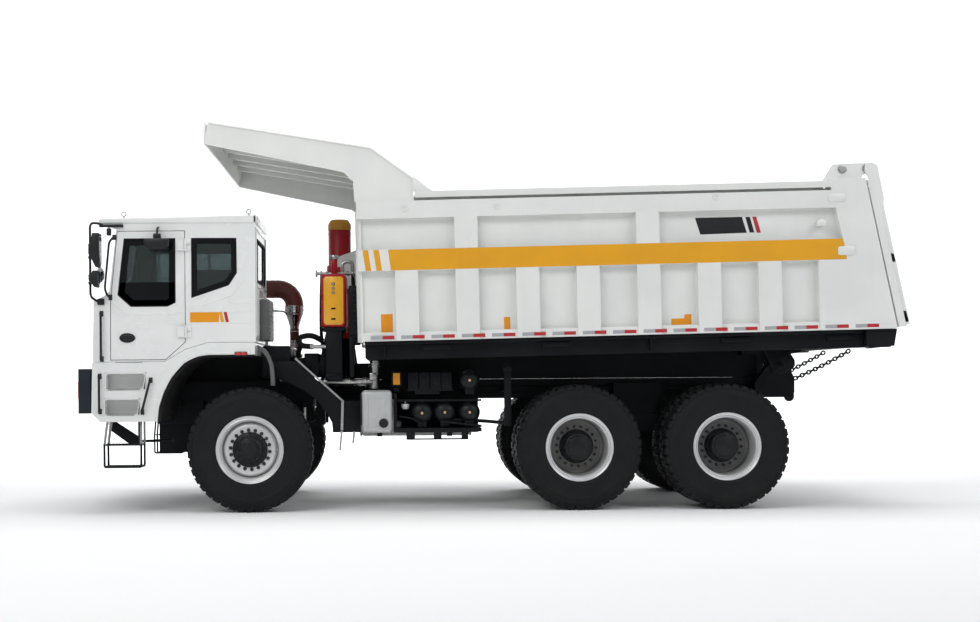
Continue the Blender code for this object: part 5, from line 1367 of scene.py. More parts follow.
def hose_bend():
    """The big rubber elbow, with shallow moulded waves."""
    count = 40
    rows = []
    for i in range(count + 1):
        t = i / count
        if t < 0.35:
            place, way = Vector((-3.000 + 0.32 * t / 0.35, DUCT_Y, 2.780)), Vector((1, 0, 0))
        elif t < 0.85:
            a = (t - 0.35) / 0.5 * math.pi / 2
            place, way = Vector((-2.680 + 0.213 * math.sin(a), DUCT_Y,
                                 2.567 + 0.213 * math.cos(a))), Vector((math.cos(a), 0, -math.sin(a)))
        else:
            place, way = Vector((DUCT_X, DUCT_Y, 2.567 - 0.045 * (t - 0.85) / 0.15)), Vector((0, 0, -1))
        rows.append((place, way, 0.119 + 0.0012 * math.sin(i * 1.9)))
    shape = bmesh.new()
    rings = []
    for place, way, radius in rows:
        side = Vector((0, 1, 0))
        up = way.cross(side).normalized()
        rings.append([shape.verts.new(place + radius * (math.cos(a) * side + math.sin(a) * up)) for a in (2 * math.pi * k / 40 for k in range(40))])
    for one, two in zip(rings, rings[1:]):
        for k in range(40):
            shape.faces.new((one[k], one[(k + 1) % 40], two[(k + 1) % 40], two[k]))
    shape.faces.new(rings[0][::-1])
    shape.faces.new(rings[-1])
    bmesh.ops.recalc_face_normals(shape, faces=shape.faces)
    return shape


as_piece("intake_elbow", joined(hose_bend(),
                                turned([(0.0, 0.0), (0.060, 0.0), (0.060, 0.185), (0.0, 0.185)],
                                       (DUCT_X, DUCT_Y, 2.060), "z", 40, False)), duct_brown, "chassis",
                                       "brown_hose", "intake_duct")
as_piece("intake_funnel", joined(turned([(0.0, 2.235), (0.056, 2.235), (0.060, 2.245), (0.060, 2.275),
                                         (0.085, 2.36), (0.118, 2.455), (0.124, 2.475), (0.124, 2.545),
                                         (0.0, 2.545)], (DUCT_X, DUCT_Y, 0), "z", 48, False),
                                 clamp_band(DUCT_X, DUCT_Y, 2.545, 0.124),
                                 clamp_band(DUCT_X, DUCT_Y, 2.500, 0.124),
                                 clamp_band(DUCT_X, DUCT_Y, 2.440, 0.115, 0.016),
                                 clamp_band(DUCT_X, DUCT_Y, 2.215, 0.060, 0.016),
                                 clamp_band(DUCT_X, DUCT_Y, 2.085, 0.060, 0.016)), chrome, "chassis",
                                 "polished_steel")
as_piece("intake_elbow_steel", joined(tube([(DUCT_X, DUCT_Y, 2.070), (DUCT_X, DUCT_Y - 0.02, 1.86),
                                            (-2.62, 0.26, 1.66)], 0.062, 0.10, 4),
                                      turned([(0.058, -0.012), (0.085, -0.012), (0.085, 0.012),
                                              (0.058, 0.012)], (DUCT_X, DUCT_Y, 1.965), "z", 32),
                                      tube([(-2.58, -0.50, 1.90), (-2.45, -0.52, 1.93),
                                            (-2.36, -0.52, 1.83)], 0.075, 0.07, 4)), pipe_steel, "chassis",
                                            "polished_steel")
as_piece("duct_stay", joined(tube([(-2.775, -0.10, 2.475), (-2.60, 0.05, 2.475), (-2.56, 0.20, 2.450)],
                                  0.010, 0.03), block(-2.770, -2.735, -0.13, -0.07, 2.44, 2.51, 0.004)),
                                  frame_black, "chassis", "chassis_black")


def cleaner():
    """The air cleaner's drum: a ribbed can with a clipped end cover."""
    parts = [turned([(0.0, 0.0), (0.200, 0.0), (0.226, 0.016), (0.232, 0.05), (0.224, 0.062), (0.224, 0.20),
                     (0.230, 0.212), (0.224, 0.224), (0.224, 0.80), (0.230, 0.812),
                     (0.224, 0.824), (0.224, 0.96), (0.232, 0.985), (0.218, 1.035), (0.150, 1.048),
                     (0.0, 1.048)], (-4.050, 0.30, 2.82), "x", 56, False)]
    for turn in range(4):
        clip = block(-3.13, -3.02, -0.018, 0.018, 0.224, 0.240, 0.004)
        parts.append(placed(clip, Matrix.Rotation(math.radians(45 + 90 * turn), 4, "X"),
                            Matrix.Translation((0, 0.30, 2.82))))
    for x in (-3.85, -3.20):
        parts.append(block(x - 0.045, x + 0.045, 0.12, 0.48, 2.5605, 2.66, 0.008))
        parts.append(turned([(0.223, -0.03), (0.2335, -0.03), (0.2335, 0.03), (0.223, 0.03)],
                            (x, 0.30, 2.82), "x", 56))
    return joined(*parts)


as_piece("air_cleaner_can", cleaner(), trim_black, "chassis", "chassis_black", "air_cleaner")


def condenser():
    """The slatted box on the cab's back."""
    parts = [block(-2.778, -2.668, -1.38, -0.70, 2.057, 2.558, 0.012, 3)]
    for k in range(9):
        z = 2.10 + k * 0.052
        parts.append(block(-2.674, -2.661, -1.34, -0.74, z - 0.014, z + 0.014, 0.004))
    for k in range(4):
        parts.append(block(-2.76, -2.69, -1.384, -1.374, 2.12 + k * 0.11, 2.17 + k * 0.11, 0.003))
    return joined(*parts)


as_piece("cab_back_box", condenser(), grey_paint_and_dish_shade, "chassis", "white_paint")


as_piece("wing_stays", mirrored(lambda side: arc_strip([(-2.800, 1.975), (-2.720, 1.930), (-2.660, 1.850),
        (-2.625, 1.750), (-2.612, 1.600), (-2.612, 1.505)], 0.046, *sorted((side * 1.50, side * 1.62)))),
         grey_paint_and_dish_shade, "chassis", "chassis_black")
liner_line = [(-3.936, 1.095), (-3.917, 1.271), (-3.855, 1.453), (-3.765, 1.619), (-3.615, 1.784),
              (-3.466, 1.851), (-3.347, 1.868), (-2.800, 1.868)]


def arch_liner(side):
    inner = [(x + 0.030 * (x < -3.4), z - 0.016 * (x > -3.9)) for x, z in liner_line]
    return outline(liner_line + inner[::-1], *sorted((side * 0.80, side * 1.944)), "y")


as_piece("wheel_arch_liners", mirrored(arch_liner), rubber_black, "chassis", "chassis_black")


# The tipping hoist
def hoist_skin():
    tube_part = turned([(0.1355, 1.531), (0.150, 1.531), (0.152, 1.545), (0.152, 1.600), (0.147, 1.612),
                        (0.147, 3.503), (0.144, 3.519), (0.1355, 3.519)], (HOIST_X, 0, 0), "z", 64)
    band = turned([(0.146, 2.915), (0.165, 2.922), (0.171, 2.935), (0.171, 3.045), (0.165, 3.058),
                   (0.146, 3.065)], (HOIST_X, 0, 0), "z", 64)
    rings = [turned([(0.146, z - 0.006), (0.1515, z - 0.004), (0.1515, z + 0.004), (0.146, z + 0.006)],
                    (HOIST_X, 0, 0), "z", 64) for z in (1.70, 2.25, 3.47)]
    pins = [bar((HOIST_X, side * 0.15, 2.99), (HOIST_X, side * 0.249, 2.99), 0.0395, 32,
                0.004) for side in (-1, 1)]
    return joined(tube_part, band, *rings, *pins)


as_piece("hoist_cover_tube", hoist_skin(), hoist_red, "hoist_cover", "red_paint", "hoist_cover")
as_piece("hoist_end_cap", turned([(0.0, 3.5205), (0.149, 3.5205), (0.151, 3.530), (0.151, 3.594),
                                  (0.146, 3.606), (0.118, 3.650), (0.108, 3.657), (0.0, 3.659)],
                                  (HOIST_X, 0, 0), "z", 64, False),
         cap_ochre, "hoist_cover", "yellow_paint", "hoist_cap")
for node in ("hoist_stage_1", "hoist_stage_2", "hoist_ram"):
    softened(node, pipe_steel, "polished_steel", 0.0012)


def fluid_case():
    """The moulded tank with a raised rim round its face, neck and shoulders."""
    case = block(-2.041, -1.731, -1.292, -0.684, 2.209, 2.867, 0.045, 5)
    rim = outline([(-2.028, 2.260), (-1.990, 2.222), (-1.782, 2.222), (-1.744, 2.260), (-1.744, 2.816),
                   (-1.782, 2.854), (-1.990, 2.854), (-2.028, 2.816)], -1.3005, -1.288, "y", 0.005, 2, 0.022)
    neck = bar((-1.885, -0.98, 2.855), (-1.885, -0.98, 3.070), 0.040, 32, 0.003)
    collar = turned([(0.038, 2.865), (0.070, 2.865), (0.066, 2.885), (0.044, 2.895)], (-1.885, -0.98, 0),
                    "z", 32)
    return joined(case, rim, neck, collar)


as_piece("hydraulic_case", fluid_case(), hoist_red, "chassis", "red_paint", "hydraulic_tank")
as_piece("hydraulic_case_face", outline([(-2.008, 2.262), (-1.986, 2.240), (-1.786, 2.240), (-1.764, 2.262),
                                         (-1.764, 2.814), (-1.786, 2.836), (-1.986, 2.836),
                                         (-2.008, 2.814)], -1.2965, -1.290, "y", 0.003),
         tank_yellow, "chassis", "yellow_paint")
as_piece("hydraulic_filler_cap",
         joined(turned([(0.0, 3.066), (0.050, 3.066), (0.053, 3.072), (0.053, 3.108), (0.046, 3.119),
                        (0.0, 3.121)], (-1.885, -0.98, 0), "z", 40, False),
                                        *[bar((-1.885 + 0.052 * math.cos(a), -0.98 + 0.052 * math.sin(a),
                                                3.074),
                                                (-1.885 + 0.052 * math.cos(a), -0.98 + 0.052 * math.sin(a),
                                                        3.106), 0.0035,
                                                        6) for a in (2 * math.pi * k / 20 for k in range(20))]),
         pipe_steel, "chassis", "polished_steel")
as_piece("case_knobs", joined(*[turned([(0.0, -0.014), (0.012, -0.014), (0.020, -0.006), (0.023, 0.004),
                                        (0.0, 0.004)], (-1.888, -1.299, z), "y", 28, False) for z in (2.741,
                                                2.687, 2.636)]), pipe_steel, "chassis", "polished_steel")
as_piece("case_gauge_windows", joined(*[block(-1.915, -1.861, -1.2995, -1.294, z - 0.011, z + 0.011,
        0.003) for z in (2.440, 2.313)]), glass_border, "chassis", "black_plastic")
case_stand = [block(-1.985, -1.785, y0, y1, 1.600, 2.213, 0.006) for y0,
              y1 in ((-1.278, -1.205), (-0.778, -0.705))]
case_stand += [block(-1.990, -1.780, -1.295, -0.432, 1.5615, 1.640, 0.006),
               block(-2.035, -1.740, -1.290, -0.690, 2.170, 2.210, 0.008)]
case_stand += [outline([(-2.10, 1.66), (-1.99, 2.16), (-1.97, 2.16), (-1.97, 1.62), (-2.10, 1.62)], -1.10,
                       -1.07, "y", 0.004)]
as_piece("hydraulic_stand", joined(*case_stand), frame_black, "chassis", "chassis_black")
fittings = [bar((-2.128, -0.62, 2.915), (-1.650, -0.62, 2.915), 0.020, 24)]
for x, size in ((-2.125, 0.044), (-2.065, 0.036), (-1.995, 0.030), (-1.790, 0.032), (-1.725, 0.036),
                (-1.662, 0.044)):
    fittings.append(bar((x - 0.011, -0.62, 2.915), (x + 0.011, -0.62, 2.915), size, 24, 0.003))
fittings.append(tube([(-1.79, -0.60, 2.93), (-1.80, -0.60, 3.060), (-1.670, -0.60, 3.075),
                      (-1.668, -0.60, 2.94)], 0.024, 0.06, 4))
fittings.append(tube([(-1.863, -1.24, 2.175), (-1.863, -1.24, 1.978), (-2.150, -1.24, 1.978)], 0.024, 0.028,
                     4))
fittings.append(bar((-1.863, -1.24, 2.140), (-1.863, -1.24, 2.205), 0.032, 24, 0.003))
fittings.append(bar((-2.175, -1.24, 1.978), (-2.135, -1.24, 1.978), 0.034, 24, 0.003))
as_piece("hydraulic_fittings", joined(*fittings), pipe_steel, "chassis", "polished_steel")


def ribbed_hose(path, radius, bend):
    """A hose whose skin is wound in close rings."""
    guide = rounded(path, bend)
    length = sum((Vector(b) - Vector(a)).length for a, b in zip(guide, guide[1:]))
    parts = [tube(path, radius * 0.9, bend, 3)]
    step, walked, due = 0.022, 0.0, 0.011
    for a, b in zip(guide, guide[1:]):
        a, b = Vector(a), Vector(b)
        piece = (b - a).length
        while due <= walked + piece:
            middle = a.lerp(b, (due - walked) / piece)
            way = (b - a).normalized() * 0.006
            parts.append(bar(tuple(middle - way), tuple(middle + way), radius, 14, 0.002))
            due += step
        walked += piece
    return joined(*parts)


as_piece("hydraulic_hoses", joined(ribbed_hose([(-2.150, -1.24, 1.978), (-2.300, -1.22, 1.99),
        (-2.330, -1.18, 2.09), (-2.170, -1.14, 2.13), (-2.030, -1.08, 2.05)], 0.036, 0.09),
                                   ribbed_hose([(-2.290, -0.90, 2.03), (-2.360, -0.90, 1.90),
                                           (-2.300, -0.88, 1.75), (-2.180, -0.86, 1.66)], 0.034, 0.09),
                                   ribbed_hose([(-1.665, -0.60, 2.92), (-1.655, -0.62, 2.60),
                                           (-1.690, -0.62, 2.25), (-1.700, -0.55, 1.75)], 0.026, 0.10),
                                   ribbed_hose([(-2.060, -0.56, 2.90), (-2.075, -0.50, 2.50),
                                           (-2.075, -0.50, 2.10), (-2.00, -0.50, 1.70)], 0.024, 0.10)),
                                           rubber_black, "chassis", "chassis_black")


def front_louvres():
    """The slotted plate that hangs at the body's front."""
    parts = [block(-1.700, -1.560, -1.30, -1.25, 2.09, 2.72, 0.006)]
    for k in range(9):
        parts.append(block(-1.640, -1.555, -1.315, -1.296, 2.14 + 0.062 * k, 2.172 + 0.062 * k, 0.005))
    return joined(*parts)


as_piece("front_louvre_plate", joined(front_louvres(),
                                      block(-1.690, -1.640, -1.30, -0.60, 1.600, 2.12, 0.006),
                                      block(-1.700, -1.560, -1.27, -1.23, 1.99, 2.15, 0.004)),
         frame_black, "chassis", "chassis_black")
support = [outline([(-2.09, 1.5605), (-1.61, 1.5605), (-1.66, 1.96), (-1.72, 2.10), (-1.98, 2.10),
                    (-2.04, 1.96)], *sorted((side * 0.43, side * 0.46)), "y", 0.006) for side in (-1, 1)]
support += [block(-1.70, -1.665, -1.16, -0.46, 1.60, 2.14, 0.006),
            block(-2.26, -2.08, -1.10, -0.46, 1.60, 1.90, 0.012)]
as_piece("hoist_side_brackets", joined(*support,
                                       *[block(-1.62, -1.44, *sorted((side * 0.55, side * 0.72)), 1.5605,
                                               1.775, 0.006) for side in (-1, 1)],
                                    block(-2.76, -2.42, -1.30, -0.46, 1.60, 1.99, 0.02),
                                    block(-2.42, -2.26, -1.00, -0.46, 1.60, 1.85, 0.01)), frame_black,
                                    "chassis", "chassis_black")

# Braces, guard and pipes beside the frame
guard = [(-2.62, 1.795), (-2.62, 1.60), (-2.42, 1.53), (-2.26, 1.45), (-2.10, 1.33), (-1.99, 1.20),
         (-1.91, 1.05), (-1.90, 0.93), (-1.56, 0.93), (-1.56, 1.313), (-1.800, 1.313), (-2.345, 1.795)]
as_piece("frame_side_guard", joined(outline(guard, -1.425, -1.410, "y", 0.003),
                                    block(-2.02, -1.60, -1.42, -0.495, 1.20, 1.30, 0.01),
                                    block(-2.40, -2.30, -1.42, -0.495, 1.60, 1.68, 0.01),
                                    *[bolt((x, -1.425, z), 0.014, 0.009) for x,
                                      z in ((-2.55, 1.70), (-2.45, 1.70), (-2.02, 1.26), (-1.94, 1.26),
                                            (-1.62, 1.26), (-1.62, 1.00))]),
         frame_black, "chassis", "chassis_black")
as_piece("guard_edge_bars", joined(arc_strip([(-2.350, 1.832), (-1.778, 1.313)], 0.022, -1.450, -1.405),
                                   arc_strip([(-1.778, 1.318), (-1.790, 0.95)], 0.030, -1.450, -1.430),
                                   arc_strip([(-1.790, 0.96), (-1.815, 0.712)], 0.024, -1.450, -1.436),
                                   arc_strip([(-1.640, 0.94), (-1.655, 0.80)], 0.026, -1.450, -1.436),
                                   *[bolt((x, -1.450, z), 0.012, 0.009) for x,
                                     z in ((-2.05, 1.58), (-1.785, 1.20), (-1.79, 1.04), (-1.80, 0.92))]),
                                     pipe_steel, "chassis", "polished_steel")
pipes = [bar((-2.020, -1.10, 1.540), (-1.400, -1.10, 1.540), 0.046, 32),
         bar((-1.390, -1.10, 1.455), (-1.390, -1.10, 1.800), 0.055, 36)]
for x in (-1.975, -1.700, -1.500):
    pipes.append(bar((x - 0.010, -1.10, 1.540), (x + 0.010, -1.10, 1.540), 0.054, 32, 0.002))
for z, size, high in ((1.475, 0.068, 0.018), (1.640, 0.064, 0.014), (1.735, 0.078, 0.012),
                      (1.765, 0.078, 0.012)):
    pipes.append(bar((-1.390, -1.10, z - high / 2), (-1.390, -1.10, z + high / 2), size, 36, 0.002))
pipes.append(block(-1.452, -1.372, -1.190, -1.120, 1.560, 1.650, 0.010))
pipes.append(bar((-1.412, -1.215, 1.605), (-1.412, -1.150, 1.605), 0.020, 20, 0.003))
as_piece("coolant_pipes", joined(*pipes), pipe_steel, "chassis", "polished_steel")

TANK_LEFT, TANK_TOP, TANK_WIDE, TANK_HIGH = -1.549, 1.440, 0.370, 0.514


def on_tank(across, down):
    return (TANK_LEFT + across * TANK_WIDE, TANK_TOP - down * TANK_HIGH)


def moulded_tank():
    """The blow-moulded expansion tank, with stiffening ridges crossing on its face."""
    parts = [block(TANK_LEFT, TANK_LEFT + TANK_WIDE, -1.612, -1.226, TANK_TOP - TANK_HIGH, TANK_TOP, 0.050,
                   6)]
    for line in (((0.17, 0.10), (0.22, 0.19), (0.22, 0.82), (0.15, 0.91)),
                 ((0.83, 0.10), (0.79, 0.19), (0.79, 0.62)), ((0.30, 0.19), (0.72, 0.19)),
                 ((0.27, 0.29), (0.45, 0.46)),
                 ((0.73, 0.29), (0.56, 0.46)), ((0.32, 0.79), (0.51, 0.59), (0.64, 0.70)),
                 ((0.24, 0.86), (0.60, 0.86))):
        parts.append(tube([(on_tank(*p)[0], -1.6105, on_tank(*p)[1]) for p in line], 0.0065, 0.01, 2))
    return joined(*parts)


as_piece("expansion_tank", moulded_tank(), tank_silver, "chassis", "silver_tank", "coolant_tank")
as_piece("expansion_tank_cap", joined(turned([(0.0, -1.655), (0.046, -1.655), (0.053, -1.648),
        (0.055, -1.615), (0.0, -1.606)], (-1.281, 0, 1.043), "y", 40, False),
                                      *[bar((-1.281 + 0.054 * math.cos(a), -1.650,
                                              1.043 + 0.054 * math.sin(a)),
                                              (-1.281 + 0.054 * math.cos(a), -1.614,
                                                      1.043 + 0.054 * math.sin(a)), 0.004,
                                                      6) for a in (2 * math.pi * k / 16 for k in range(16))],
                                      block(-1.50, -1.24, -1.23, -0.4905, 1.34, 1.42, 0.006),
                                      block(-1.56, -1.545, -1.60, -1.23, 1.02, 1.40, 0.004)), trim_black,
                                      "chassis", "black_plastic")


def air_vessel(x, z, radius):
    """A pressed air tank: dished ends and two rolled beads."""
    return turned([(0.0, -1.500), (radius * 0.45, -1.494), (radius * 0.80, -1.474), (radius * 0.96, -1.446),
                   (radius, -1.415), (radius + 0.003, -1.405), (radius, -1.395), (radius, -0.865),
                   (radius + 0.003, -0.855),
                   (radius, -0.845), (radius * 0.9, -0.800), (radius * 0.5, -0.782), (0.0, -0.780)],
                   (x, 0, z), "y", 52, False)


vessels = ((-0.817, 1.158, 0.129), (-0.541, 1.166, 0.129), (-0.242, 1.164, 0.127), (-0.240, 1.552, 0.124))
as_piece("air_vessels", joined(*[air_vessel(*v) for v in vessels]), hub_black, "chassis", "chassis_black",
         "air_tank_rack")
as_piece("air_vessel_plugs", joined(*[joined(bar((x, -1.496, z), (x, -1.512, z), 0.017, 6, 0.001),
        bar((x, -1.510, z), (x, -1.520, z), 0.009, 12, 0.001)) for x, z, r in vessels]), plug_brass,
        "chassis", "polished_steel")


def vessel_rack():
    parts = [block(-1.160, -0.100, -0.800, -0.742, 0.900, 1.660, 0.006),
             block(-1.160, -0.100, -1.545, -0.760, 0.932, 0.978, 0.004),
             block(-1.160, -1.120, -1.540, -0.76, 0.95, 1.40, 0.004)]
    for x, z, r in vessels:
        for y in (-1.33, -0.95):
            parts.append(turned([(r - 0.001, -0.02), (r + 0.004, -0.02), (r + 0.004, 0.02),
                                 (r - 0.001, 0.02)], (x, y, z), "y", 48))
        parts.append(block(x - 0.055, x + 0.055, -1.47, -0.78, z - r - 0.045, z - r + 0.028, 0.004))
    for k in range(4):
        x = -0.985 + 0.135 * k
        parts.append(block(x, x + 0.131, -1.432, -0.79, 1.432, 1.655, 0.012, 3))
        parts.append(block(x + 0.03, x + 0.10, -1.438, -1.43, 1.49, 1.61, 0.004))
    parts.append(block(-0.995, -0.435, -1.436, -1.420, 1.425, 1.450, 0.004))
    parts.append(block(-0.90, -0.60, -1.430, -1.40, 1.385, 1.425, 0.004))
    for x0, x1 in ((-1.010, -0.905), (-0.680, -0.585), (-0.345, -0.262)):
        parts.append(block(x0, x1, -1.552, -1.520, 0.842, 0.940, 0.004))
    parts.append(block(-1.010, -0.262, -1.552, -1.510, 0.838, 0.856, 0.004))
    parts.append(block(-1.16, -0.10, -1.515, -1.500, 1.30, 1.325, 0.003))
    for x in (-1.05, -0.30):
        parts.append(block(x - 0.03, x + 0.03, -0.745, -0.4905, 1.24, 1.48, 0.006))
    for x in (-1.14, -0.93, -0.68, -0.40, -0.12):
        for z in (1.312, 0.955):
            parts.append(bolt((x, -1.515 if z > 1 else -1.545, z), 0.010, 0.008))
    parts.append(tube([(-1.10, -1.46, 1.12), (-0.95, -1.50, 1.10), (-0.80, -1.53, 1.02)], 0.010, 0.05))
    parts.append(tube([(-0.60, -1.525, 1.06), (-0.10, -1.520, 1.00)], 0.016, 0.05))
    return joined(*parts)


as_piece("vessel_rack", vessel_rack(), frame_black, "chassis", "chassis_black")
as_piece("drain_filter_bowl", joined(turned([(0.0, 1.205), (0.030, 1.207), (0.044, 1.225), (0.050, 1.27),
        (0.0, 1.27)], (-1.02, -1.45, 0), "z", 32, False),
        bar((-1.02, -1.45, 1.27), (-1.02, -1.45, 1.31), 0.008, 12)),
         tank_silver, "chassis", "polished_steel")
as_piece("drain_valve_blue", joined(turned([(0.0, 0.985), (0.035, 0.988), (0.046, 1.01), (0.046, 1.05),
                                            (0.030, 1.07), (0.0, 1.072)], (-1.105, -1.50, 0), "z", 28,
                                            False)), nut_blue_black, "chassis", "chassis_black")
as_piece("rack_label_orange", block(-1.165, -1.082, -1.430, -1.426, 1.505, 1.645, 0.001, 1), plate_orange,
         "chassis", "yellow_paint")
as_piece("rack_label_holder", joined(block(-1.185, -1.062, -1.426, -1.416, 1.485, 1.665, 0.003),
                                     block(-1.16, -1.09, -1.42, -0.80, 1.42, 1.46, 0.004)), frame_black,
                                     "chassis", "chassis_black")

# Fuel tank on the right
def fuel_case():
    cut = 0.10
    y0, y1, z0, z1 = 0.74, 1.52, 0.80, 1.50
    shape = [(y0 + cut, z0), (y1 - cut, z0), (y1, z0 + cut), (y1, z1 - cut), (y1 - cut, z1), (y0 + cut, z1),
             (y0, z1 - cut), (y0, z0 + cut)]
    case = eased(outline(shape, -1.60, -0.12, "x"), 0.05, 5, 20)
    ends = [eased(outline(shape, x0, x1, "x"), 0.02, 3, 20) for x0, x1 in ((-1.62, -1.585), (-0.135, -0.10))]
    return joined(case, *ends, bar((-1.25, 1.25, 1.49), (-1.25, 1.25, 1.545), 0.05, 32))


as_piece("fuel_case", fuel_case(), tank_silver, "chassis", "silver_tank", "fuel_tank")
straps = []
for x in (-1.35, -0.40):
    strap = outline([(0.735, 0.86), (0.80, 0.795), (1.46, 0.795), (1.525, 0.86), (1.525, 1.44),
                     (1.46, 1.505), (0.80, 1.505), (0.735, 1.44)], x - 0.035, x + 0.035, "x", 0.0, 1, 0.010)
    straps += [strap, block(x - 0.045, x + 0.045, 0.4905, 0.74, 1.22, 1.50, 0.008),
               block(x - 0.03, x + 0.03, 1.30, 1.36, 1.503, 1.53, 0.004)]
straps.append(bar((-1.25, 1.25, 1.54), (-1.25, 1.25, 1.579), 0.068, 36, 0.006))
as_piece("fuel_straps_and_cap", joined(*straps), frame_black, "chassis", "chassis_black")


# Rail details: bolts, hoses and hangers along the frame
def rail_bolts(side):
    face = side * 0.490
    parts = []
    for x in [-2.30, -2.18, -1.62, 0.15, 0.30, 1.92 - 0.30, 1.92 + 0.30, 3.30, 3.45, 3.60]:
        for z in (1.36, 1.50):
            parts.append(bolt((x, face, z), 0.015, 0.012, (0, side, 0)))
    for z in (1.39, 1.47):
        parts.append(tube([(-2.2, face + side * 0.020, z), (0.5, face + side * 0.022, z),
                           (2.0, face + side * 0.020, z), (3.7, face + side * 0.018, z)], 0.009, 0.1, 2))
    return joined(*parts)


as_piece("frame_bolts_and_lines", mirrored(rail_bolts), frame_black, "chassis", "chassis_black")


def flap_hanger(side):
    low, high = sorted((side * 1.46, side * 1.50))
    parts = [block(0.178, 0.262, low, high, 0.996, 1.770, 0.004),
             block(0.19, 0.25, *sorted((side * 0.4905, side * 1.48)), 1.40, 1.46, 0.005)]
    parts.append(block(0.170, 0.270, *sorted((side * 1.455, side * 1.505)), 1.66, 1.72, 0.004))
    parts.append(tube([(0.22, side * 1.44, 1.03), (-0.10, side * 1.42, 1.06), (-0.55, side * 1.40, 1.075)],
                      0.022, 0.1, 2))
    for z in (1.08, 1.30, 1.62):
        parts.append(bolt((0.22, side * 1.505 if z > 1.6 else side * 1.50, z), 0.012, 0.009, (0, side, 0)))
    return joined(*parts)


as_piece("wheel_flap_hangers", joined(flap_hanger(-1)), frame_black, "chassis", "chassis_black")


# The body's prop chains
def chain(side):
    """Links set alternately on edge, hanging in a shallow curve from the frame's tail to the body's rear."""
    parts = []
    start, end = Vector((3.930, side * 0.56, 1.540)), Vector((4.640, side * 0.56, 1.895))
    count = 17
    for k in range(count):
        t0, t1 = k / count, (k + 1) / count
        a, b = (start.lerp(end, t) - Vector((0, 0, 0.06 * t * (1 - t))) for t in (t0, t1))
        middle, way = (a + b) / 2, (b - a).normalized()
        half = (b - a).length / 2 + 0.006
        side_way = Vector((0, 1, 0)) if k % 2 else way.cross(Vector((0, 1, 0))).normalized()
        points = []
        for i in range(20):
            turn = 2 * math.pi * i / 20
            points.append(tuple(middle + way * (math.cos(turn) * half) + side_way * (math.sin(turn) * 0.0215)))
        loop = bmesh.new()
        ring = [[loop.verts.new(Vector(p) + 0.0105 * (math.cos(s) * (Vector(p) - middle).normalized() + math.sin(s) * way.cross(side_way).normalized())) for s in (2 * math.pi * j / 8 for j in range(8))] for p in points]
        for i in range(20):
            for j in range(8):
                loop.faces.new((ring[i][j], ring[(i + 1) % 20][j], ring[(i + 1) % 20][(j + 1) % 8],
                                ring[i][(j + 1) % 8]))
        bmesh.ops.recalc_face_normals(loop, faces=loop.faces)
        parts.append(loop)
    return joined(*parts)


for side, word in SIDES:
    links = as_piece(f"prop_chain_{word}", chain(side), chain_steel, None, "chassis_black", flat_above=80)
    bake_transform(links)


def tail_eye(side):
    """The rounded towing lug under the frame's tail, with its pin."""
    low, high = sorted((side * 0.745, side * 0.7695))
    curve = [(3.813 + 0.062 * math.cos(a),
              1.318 + 0.062 * math.sin(a)) for a in (math.pi + math.pi * k / 14 for k in range(15))]
    return joined(outline(curve + [(3.875, 1.42), (3.751, 1.42)], low, high, "y", 0.003),
                  bar((3.813, side * 0.760, 1.318), (3.813, side * 0.786, 1.318), 0.024, 28, 0.003))


as_piece("tail_eyes", mirrored(tail_eye), frame_black, "chassis", "chassis_black")
as_piece("body_rest_pads", mirrored(lambda side: block(-1.40, 3.40, *sorted((side * 0.405, side * 0.485)),
        1.5603, 1.5665, 0.002, 1)), rubber_black, "chassis", "chassis_black")

# The right-hand deck's rail and ladder
as_piece("deck_handrail", joined(tube([(-3.06, 1.22, 2.565), (-3.06, 1.22, 3.42), (-4.40, 1.22, 3.42),
                                       (-4.40, 1.22, 2.565)], 0.0195, 0.09, 4),
                                       tube([(-3.06, 1.22, 3.0), (-4.40, 1.22, 3.0)], 0.0155, 0.1, 3),
                                 bar((-3.70, 1.22, 2.565), (-3.70, 1.22, 3.42), 0.0175, 20),
                                 *[bar((x, 1.22, 2.5605), (x, 1.22, 2.572), 0.045, 24,
                                       0.002) for x in (-4.40, -3.70, -3.06)]),
         cab_white, "chassis", "white_paint", "deck_rail")
right_ladder = []
for y in (1.640, 1.886):
    right_ladder.append(tube([(-4.520, y, 1.088), (-4.545, y, 0.812), (-4.543, y, 0.556),
                              (-4.150, y, 0.556), (-4.150, y, 1.088)], 0.0125, 0.02, 3))
for z in (0.558, 0.812):
    right_ladder.append(block(-4.545, -4.150, 1.640, 1.886, z - 0.006, z + 0.006, 0.003, 1))
as_piece("boarding_ladder_right", joined(*right_ladder), frame_black, "chassis", "black_plastic",
         "ladder_right")
# ---------------------------------------------------------------- CAD nodes that keep their shape
for node in ("engine_block", "front_axle", "mid_axle", "rear_axle", "bogie_spring_left",
             "bogie_spring_right", "knuckle_left",
             "knuckle_right", "tie_rod", "chassis_frame"):
    softened(node, frame_black, "chassis_black", 0.004 if node in ("engine_block", "chassis_frame") else 0.0)
